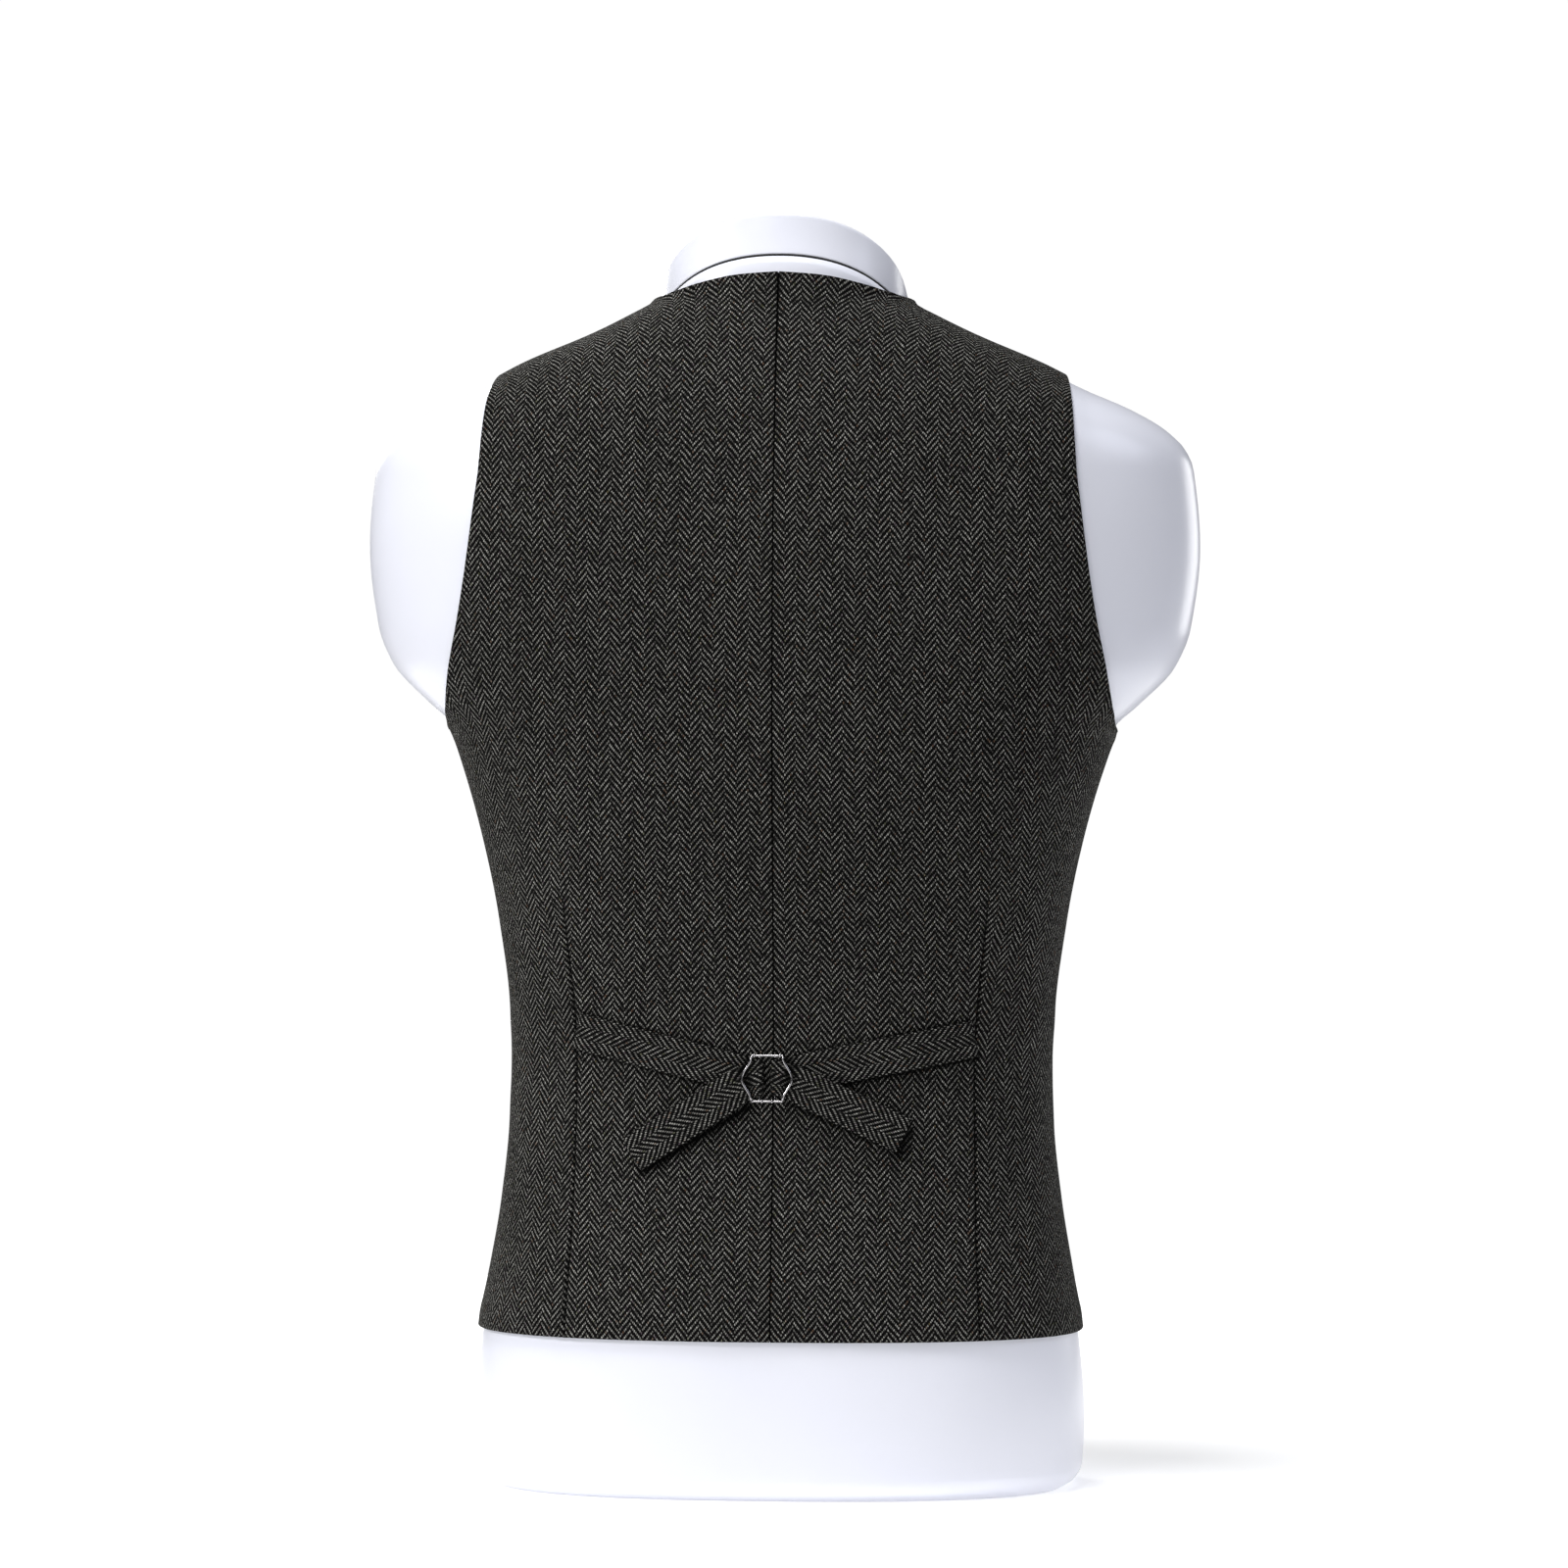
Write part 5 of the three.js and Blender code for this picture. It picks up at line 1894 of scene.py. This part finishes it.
    def hole(self, yarn: bpy.types.Material, cloth_face: Callable[[Array, Array], Array]
             ) -> bpy.types.Object:
        """Make the worked buttonhole: close stitches round a slit.

        Args:
            yarn: Material of the stitches.
            cloth_face: Gives points on the cloth's face at x and z.

        Returns:
            The finished object.
        """
        z = button_heights()[self.number]
        run = np.linspace(0, 1, 5)
        stitches: list[Array] = []
        for x in np.arange(HOLE_START, HOLE_END, 0.42):
            for way in (-1, 1):
                stitches.append(np.stack([np.full(5, x), z + way * (0.2 + 1.15 * run)], -1))
        # Each end is closed by four longer stitches across it
        for x in (HOLE_START - 0.2, HOLE_END + 0.1):
            for k in range(4):
                place = np.full(5, x + (k - 1.5) * 0.22)
                stitches.append(np.stack([place, z + 1.5 * (2 * run - 1)], -1))
        places = np.array(stitches)
        paths = cloth_face(places[..., 0], places[..., 1])
        paths[..., 1] -= 0.14 + 0.12 * np.sin(run * math.pi)
        threads = Tubes(0.17, 6)
        for path in paths:
            threads.add(path)
        return threads.place(f"buttonhole_{self.number + 1}", yarn)


# The torso form

@dataclass
class TorsoForm:
    """The limbless form: torso, neck piece and the dark plate in its joint.

    Args:
        around: Points round a ring.
        shoulder: Height from which the columns keep their angles.
        neck_y: Middle of the neck, from front to back.
        gap: Half the width of the joint.
        rim: How far the neck's edge is rounded.
    """

    around: int = 180
    shoulder: float = 588.0
    neck_y: float = 11.0
    gap: float = JOINT_GAP / 2 + 0.2
    rim: float = 3.6

    def even(self, z: float) -> Array:
        """Give evenly spaced column angles at one height.

        Args:
            z: The height.

        Returns:
            Angles round from the centre back.
        """
        fine = np.linspace(0, 360, 2881)
        p = ring_point(z, fine)
        length = np.concatenate([[0], np.cumsum(np.linalg.norm(np.diff(p, axis=0), axis=1))])
        return np.interp(np.linspace(0, length[-1], self.around, endpoint=False), length, fine)

    def slant(self, angles: Array, cut: Curve, rise: float) -> Array:
        """Give the ring where the surface meets a slanting cut.

        Args:
            angles: Angles of the columns.
            cut: Side view of the cut.
            rise: How far above the cut the ring lies.

        Returns:
            The ring's points.
        """
        z = halving(
            np.full_like(angles, 570.0), np.full_like(angles, 711.0),
            lambda m: m < cut(ring_point(m, angles)[:, 1]) + rise,
        )
        return ring_point(z, angles)

    def draw_in(self, ring: Array, scales: Sequence[float], cut: Curve, rise: float
                ) -> list[Array]:
        """Draw a ring in towards the neck's middle, along a slanting cut.

        Args:
            ring: The ring's points.
            scales: How large each new ring is beside it.
            cut: Side view of the cut.
            rise: How far above the cut they lie.

        Returns:
            The new rings.
        """
        rings = []
        for scale in scales:
            y = self.neck_y + (ring[:, 1] - self.neck_y) * scale
            rings.append(np.stack([ring[:, 0] * scale, y, cut(y) + rise], -1))
        return rings

    def middle(self, cut: Curve, rise: float) -> Array:
        """Give the point of a slanting cut in the neck's middle."""
        return np.array([0.0, self.neck_y, float(cut(self.neck_y)) + rise])

    @staticmethod
    def loft(name: str, material: bpy.types.Material, rings: list[Array], start: Array, end: Array
             ) -> bpy.types.Object:
        """Make a closed body through rings of equal count.

        Args:
            name: Name of the object.
            material: Its material.
            rings: The rings.
            start: Point that closes the first ring.
            end: Point that closes the last one.

        Returns:
            The finished object.
        """
        count = len(rings[0])
        points = np.concatenate([*rings, start[None], end[None]])
        faces = ring_faces(len(rings), count)
        top = (len(rings) - 1) * count
        low = len(points) - 2
        for c in range(count):
            d = (c + 1) % count
            faces += [(low, d, c), (low + 1, top + c, top + d)]
        obj = make_mesh(name, points, faces)
        face_outward(obj)
        return dress(obj, material)

    def build(self, skin: bpy.types.Material, joint: bpy.types.Material
              ) -> dict[str, bpy.types.Object]:
        """Make the three bodies of the form.

        Args:
            skin: Material of the outside.
            joint: Material of the plate in the joint.

        Returns:
            Objects by the node that each stands for.
        """
        gap = self.gap
        angles = self.even(self.shoulder)
        rings = []
        for z in np.concatenate([
            [0.0, 0.8, 2, 4, 6.5, 9, 12, 16, 22], np.arange(30, 400, 8), np.arange(400, 480, 3.5),
            np.arange(480, self.shoulder, 5),
        ]):
            mixed = soft((z - 500) / 60)
            rings.append(ring_point(z, self.even(z) * (1 - mixed) + angles * mixed))
        low = self.slant(angles, NECK_JOINT, -gap)
        rings += [ring_point(self.shoulder + (low[:, 2] - self.shoulder) * t, angles)
                  for t in np.linspace(0, 1, 26)[:-1]]
        inner = self.draw_in(low, (0.996, 0.94, 0.8, 0.6, 0.4, 0.2), NECK_JOINT, -gap)
        torso = self.loft("form_torso_shell", skin, [*rings, low, *inner], np.zeros(3),
                          self.middle(NECK_JOINT, -gap))
        # The neck piece: its underside, its wall, its rounded edge and its top
        high = self.slant(angles, NECK_JOINT, gap)
        edge = self.slant(angles, NECK_TOP, -self.rim)
        wall = [ring_point(high[:, 2] + (edge[:, 2] - high[:, 2]) * t, angles)
                for t in np.linspace(0, 1, 22)]
        over = []
        for a in np.linspace(0, math.pi / 2, 7)[1:]:
            over += self.draw_in(edge, [1 - 0.055 * (1 - math.cos(a))], NECK_TOP,
                                 -self.rim * (1 - math.sin(a)))
        neck = self.loft("form_neck_piece", skin, [
            *self.draw_in(high, (0.2, 0.4, 0.6, 0.8, 0.94, 0.996), NECK_JOINT, gap), *wall, *over,
            *self.draw_in(edge, (0.85, 0.65, 0.45, 0.25), NECK_TOP, 0.0),
        ], self.middle(NECK_JOINT, gap), self.middle(NECK_TOP, 0.0))
        # The plate, near-black as painted shade for the joint's deep gap, stands just inside the
        # joint's mouth
        mouth = low + (self.draw_in(low, [0.62], NECK_JOINT, -gap)[0] - low) * 0.01
        half = 0.45
        plate = self.loft("form_joint_shade_plate", joint, [
            *self.draw_in(low, (0.2, 0.4, 0.6, 0.8), NECK_JOINT, -half),
            mouth + np.array([0, 0, 0.15]), mouth + np.array([0, 0, 1.45]),
            *self.draw_in(low, (0.8, 0.6, 0.4, 0.2), NECK_JOINT, half),
        ], self.middle(NECK_JOINT, -half), self.middle(NECK_JOINT, half))
        return {"form_torso": torso, "form_neck": neck, "form_joint": plate}


# The studio

# Soft boxes: name, place, size, power and colour
SOFT_BOXES = (
    ("key_upper_left", (2.5, 1.5, 1.9), 0.7, 49.0, "ffffff"),
    ("behind_camera", (0.9, 3.2, 1.5), 1.2, 12.0, "ffffff"),
    ("top", (0.25, 0.58, 2.5), 1.0, 40.0, "ffffff"),
    ("fill_right", (-2.5, 0.5, 2.3), 1.4, 15.0, "e8edff"),
    ("front_fill", (1.2, -2.6, 1.5), 1.4, 38.0, "ffffff"),
    ("front_low", (-1.8, -2.0, 0.7), 1.2, 12.0, "ffffff"),
)


@dataclass(frozen=True)
class Studio:
    """White paper floor, soft boxes and the camera behind the form.

    Args:
        distance: From the form's axis to the camera, in metres.
        azimuth: Round from the front, in degrees.
        eye: Height of the camera, which looks level.
        lens: Focal length in millimetres.
        roll: Turn about the view, in degrees.
        chest: Height that the lights are turned to.
        paper: Half the paper's width.
        ambient: Strength of the surround as the form sees it.
        backdrop: Its strength as the camera sees it.
    """

    distance: float = 3.6
    azimuth: float = 183.0
    eye: float = 0.39
    lens: float = 147.3
    roll: float = 0.25
    chest: float = 0.38
    paper: float = 1.5
    ambient: float = 0.12
    backdrop: float = 1.02

    def floor(self) -> None:
        """Roll out the paper under the form."""
        mesh = bpy.data.meshes.new("paper")
        corners = [(self.paper * math.cos(a), self.paper * math.sin(a), 0.0) for a in circle(64)]
        mesh.from_pydata(corners, [], [tuple(range(len(corners)))])
        obj = self.put("paper", mesh, (0.0, 0.0, 0.0))
        dress(obj, StudioPaper().build())

    @staticmethod
    def put(name: str, data: bpy.types.ID, place: Sequence[float],
            target: Optional[Sequence[float]] = None) -> bpy.types.Object:
        """Put a new object in the studio.

        Args:
            name: Its name.
            data: Its mesh, light or camera.
            place: Where it stands.
            target: What its -Z is turned to, with +Y up.

        Returns:
            The object.
        """
        obj = bpy.data.objects.new(name, data)
        obj.location = place
        if target is not None:
            away = Vector(target) - Vector(place)
            obj.rotation_euler = away.to_track_quat("-Z", "Y").to_euler()
        bpy.context.scene.collection.objects.link(obj)
        return obj

    def light(self, name: str, place: Sequence[float], size: float, power: float, colour: str
              ) -> None:
        """Hang one soft box, turned to the form's chest.

        Args:
            name: Its name.
            place: Where it hangs.
            size: How wide it is.
            power: How strong it is, in watts.
            colour: Its sRGB hex colour.
        """
        lamp = bpy.data.lights.new(name, "AREA")
        lamp.shape = "DISK"
        lamp.size = size
        lamp.energy = power
        lamp.color = linear(colour)[:3]
        self.put(name, lamp, place, (0.0, 0.0, self.chest))

    def surround(self) -> None:
        """Set the white surround, brighter to the camera than to the form."""
        world = bpy.data.worlds.new("white_surround")
        bpy.context.scene.world = world
        n = Nodes(world)
        lit = n.add("Background", linear("ffffff"), self.ambient)
        shown = n.add("Background", linear("ffffff"), self.backdrop)
        seen = n.add("LightPath", out="Is Camera Ray")
        n.add("OutputWorld", n.add("MixShader", seen, lit, shown))

    def camera(self) -> None:
        """Stand the camera at the photograph's place."""
        turn = math.radians(self.azimuth)
        lens = bpy.data.cameras.new("camera")
        lens.lens = self.lens
        lens.sensor_width = 36.0
        lens.sensor_fit = "HORIZONTAL"
        lens.clip_end = 60.0
        place = (self.distance * math.sin(turn), -self.distance * math.cos(turn), self.eye)
        obj = self.put("camera", lens, place, (0.0, 0.0, self.eye))
        obj.rotation_euler.rotate_axis("Z", math.radians(self.roll))
        bpy.context.scene.camera = obj

    def build(self) -> None:
        """Set the lights, the white surround and the camera."""
        self.floor()
        for box in SOFT_BOXES:
            self.light(*box)
        self.surround()
        self.camera()
        bpy.context.scene.view_settings.view_transform = "Standard"
        bpy.context.scene.view_settings.look = "None"
        LOG.info("studio with %d soft boxes", len(SOFT_BOXES))


def front_face(x: Array, z: Array) -> Array:
    """Give points on the face of the lapped left front.

    Args:
        x: Places across.
        z: Heights.

    Returns:
        Points in the form's frame.
    """
    p = ring_point(z, angle_at(z, x, *FRONT_SPAN, AIR + WALL + LAP_LIFT))
    lift = relief(p, FRONT_CREASES) * soft((x + LAP) / 8)
    return p + normal_at(p) * (AIR + WALL + lap_lift(p) + lift)[..., None]


class Waistcoat:
    """The whole dressed object, piece by piece."""

    def __init__(self) -> None:
        """Make the straps and the finishes."""
        self.straps = (
            Strap(Wearer.LEFT, (109.6, 254), (19, 224.9), (77.5, 187), -1.4),
            Strap(Wearer.RIGHT, (-109.6, 251), (-13, 226.5), (-71.6, 198.6), 2.2),
        )
        # Each cloth copy has painted shade where something lies on it: straps, stitches or the lap's
        # edge
        shaded = tuple(line for strap in self.straps for line in strap.contacts())
        worked = tuple(Contact((HOLE_START, z), (HOLE_END, z), 1.3, 0.9) for z in button_heights())
        lapped = tuple(Contact(a, b, 2.0, 0.85) for a, b in zip(LAP_LINE, LAP_LINE[1:]))
        self.cloth = HerringboneWool().build()
        back = HerringboneWool("herringbone_wool_strap_shadows", shaded).build()
        self.panel_cloth = {
            (Side.BACK, Wearer.LEFT): back,
            (Side.BACK, Wearer.RIGHT): back,
            (Side.FRONT, Wearer.LEFT): HerringboneWool("herringbone_wool_slit_shade", worked).build(),
            (Side.FRONT, Wearer.RIGHT): HerringboneWool("herringbone_wool_lap_shadow", lapped).build(),
        }

    @staticmethod
    def stand_for(obj: bpy.types.Object, slot: str, node: str = "") -> None:
        """Let a piece ride on the body, and take a node's place where it has one.

        Args:
            obj: The piece.
            slot: Slot of its material.
            node: The node that it stands for.
        """
        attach(obj, "root")
        if node:
            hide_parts(node)
        LOG.info("%s: %d faces, %s", obj.name, len(obj.data.polygons), slot)

    def add_form(self) -> None:
        """Build the torso form."""
        form = TorsoForm().build(WhiteGelcoat().build(), ShadowPaint().build())
        for node, obj in form.items():
            self.stand_for(obj, "form_joint_dark" if node == "form_joint" else "form_gloss", node)

    def add_panels(self) -> None:
        """Build the four panels."""
        for (side, wearer), cloth in self.panel_cloth.items():
            panel = Panel(side, wearer)
            obj = panel.build(cloth)
            self.stand_for(obj, "waistcoat_cloth", panel.name)
            LOG.info("%s flat %.3f x %.3f area %.4f", panel.name, *panel.flat_size, panel.flat_area)

    def add_cinch(self) -> None:
        """Build both straps and their buckle."""
        for strap in self.straps:
            obj = strap.build(self.cloth)
            self.stand_for(obj, "waistcoat_cloth", f"cinch_{strap.wearer.name.lower()}")
            LOG.info("%s length %.3f", obj.name, strap.length)
        self.stand_for(Buckle().build(NickelWire().build()), "buckle_wire", "buckle")

    def add_buttons(self) -> None:
        """Build the buttons, their thread and their holes."""
        resin = HornResin().build()
        yarn = DarkThread().build()
        for number in range(BUTTON_COUNT):
            button = Button(number)
            self.stand_for(button.build(resin), "button_horn", f"button_{number + 1}")
            self.stand_for(button.thread(yarn), "waistcoat_cloth")
            self.stand_for(button.hole(yarn, front_face), "waistcoat_cloth")

    def build(self) -> None:
        """Build every piece."""
        self.add_form()
        self.add_panels()
        self.add_cinch()
        self.add_buttons()


def main() -> None:
    """Load the frame, dress it, and note the cloth pieces' sizes as they are built."""
    global SHIFT_Y
    logging.basicConfig(level=logging.INFO, format="%(name)s: %(message)s")
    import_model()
    SHIFT_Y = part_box("form_torso")[1][1] / MM - BACK_DEPTH
    Waistcoat().build()
    Studio().build()


if __name__ == "__main__":
    main()
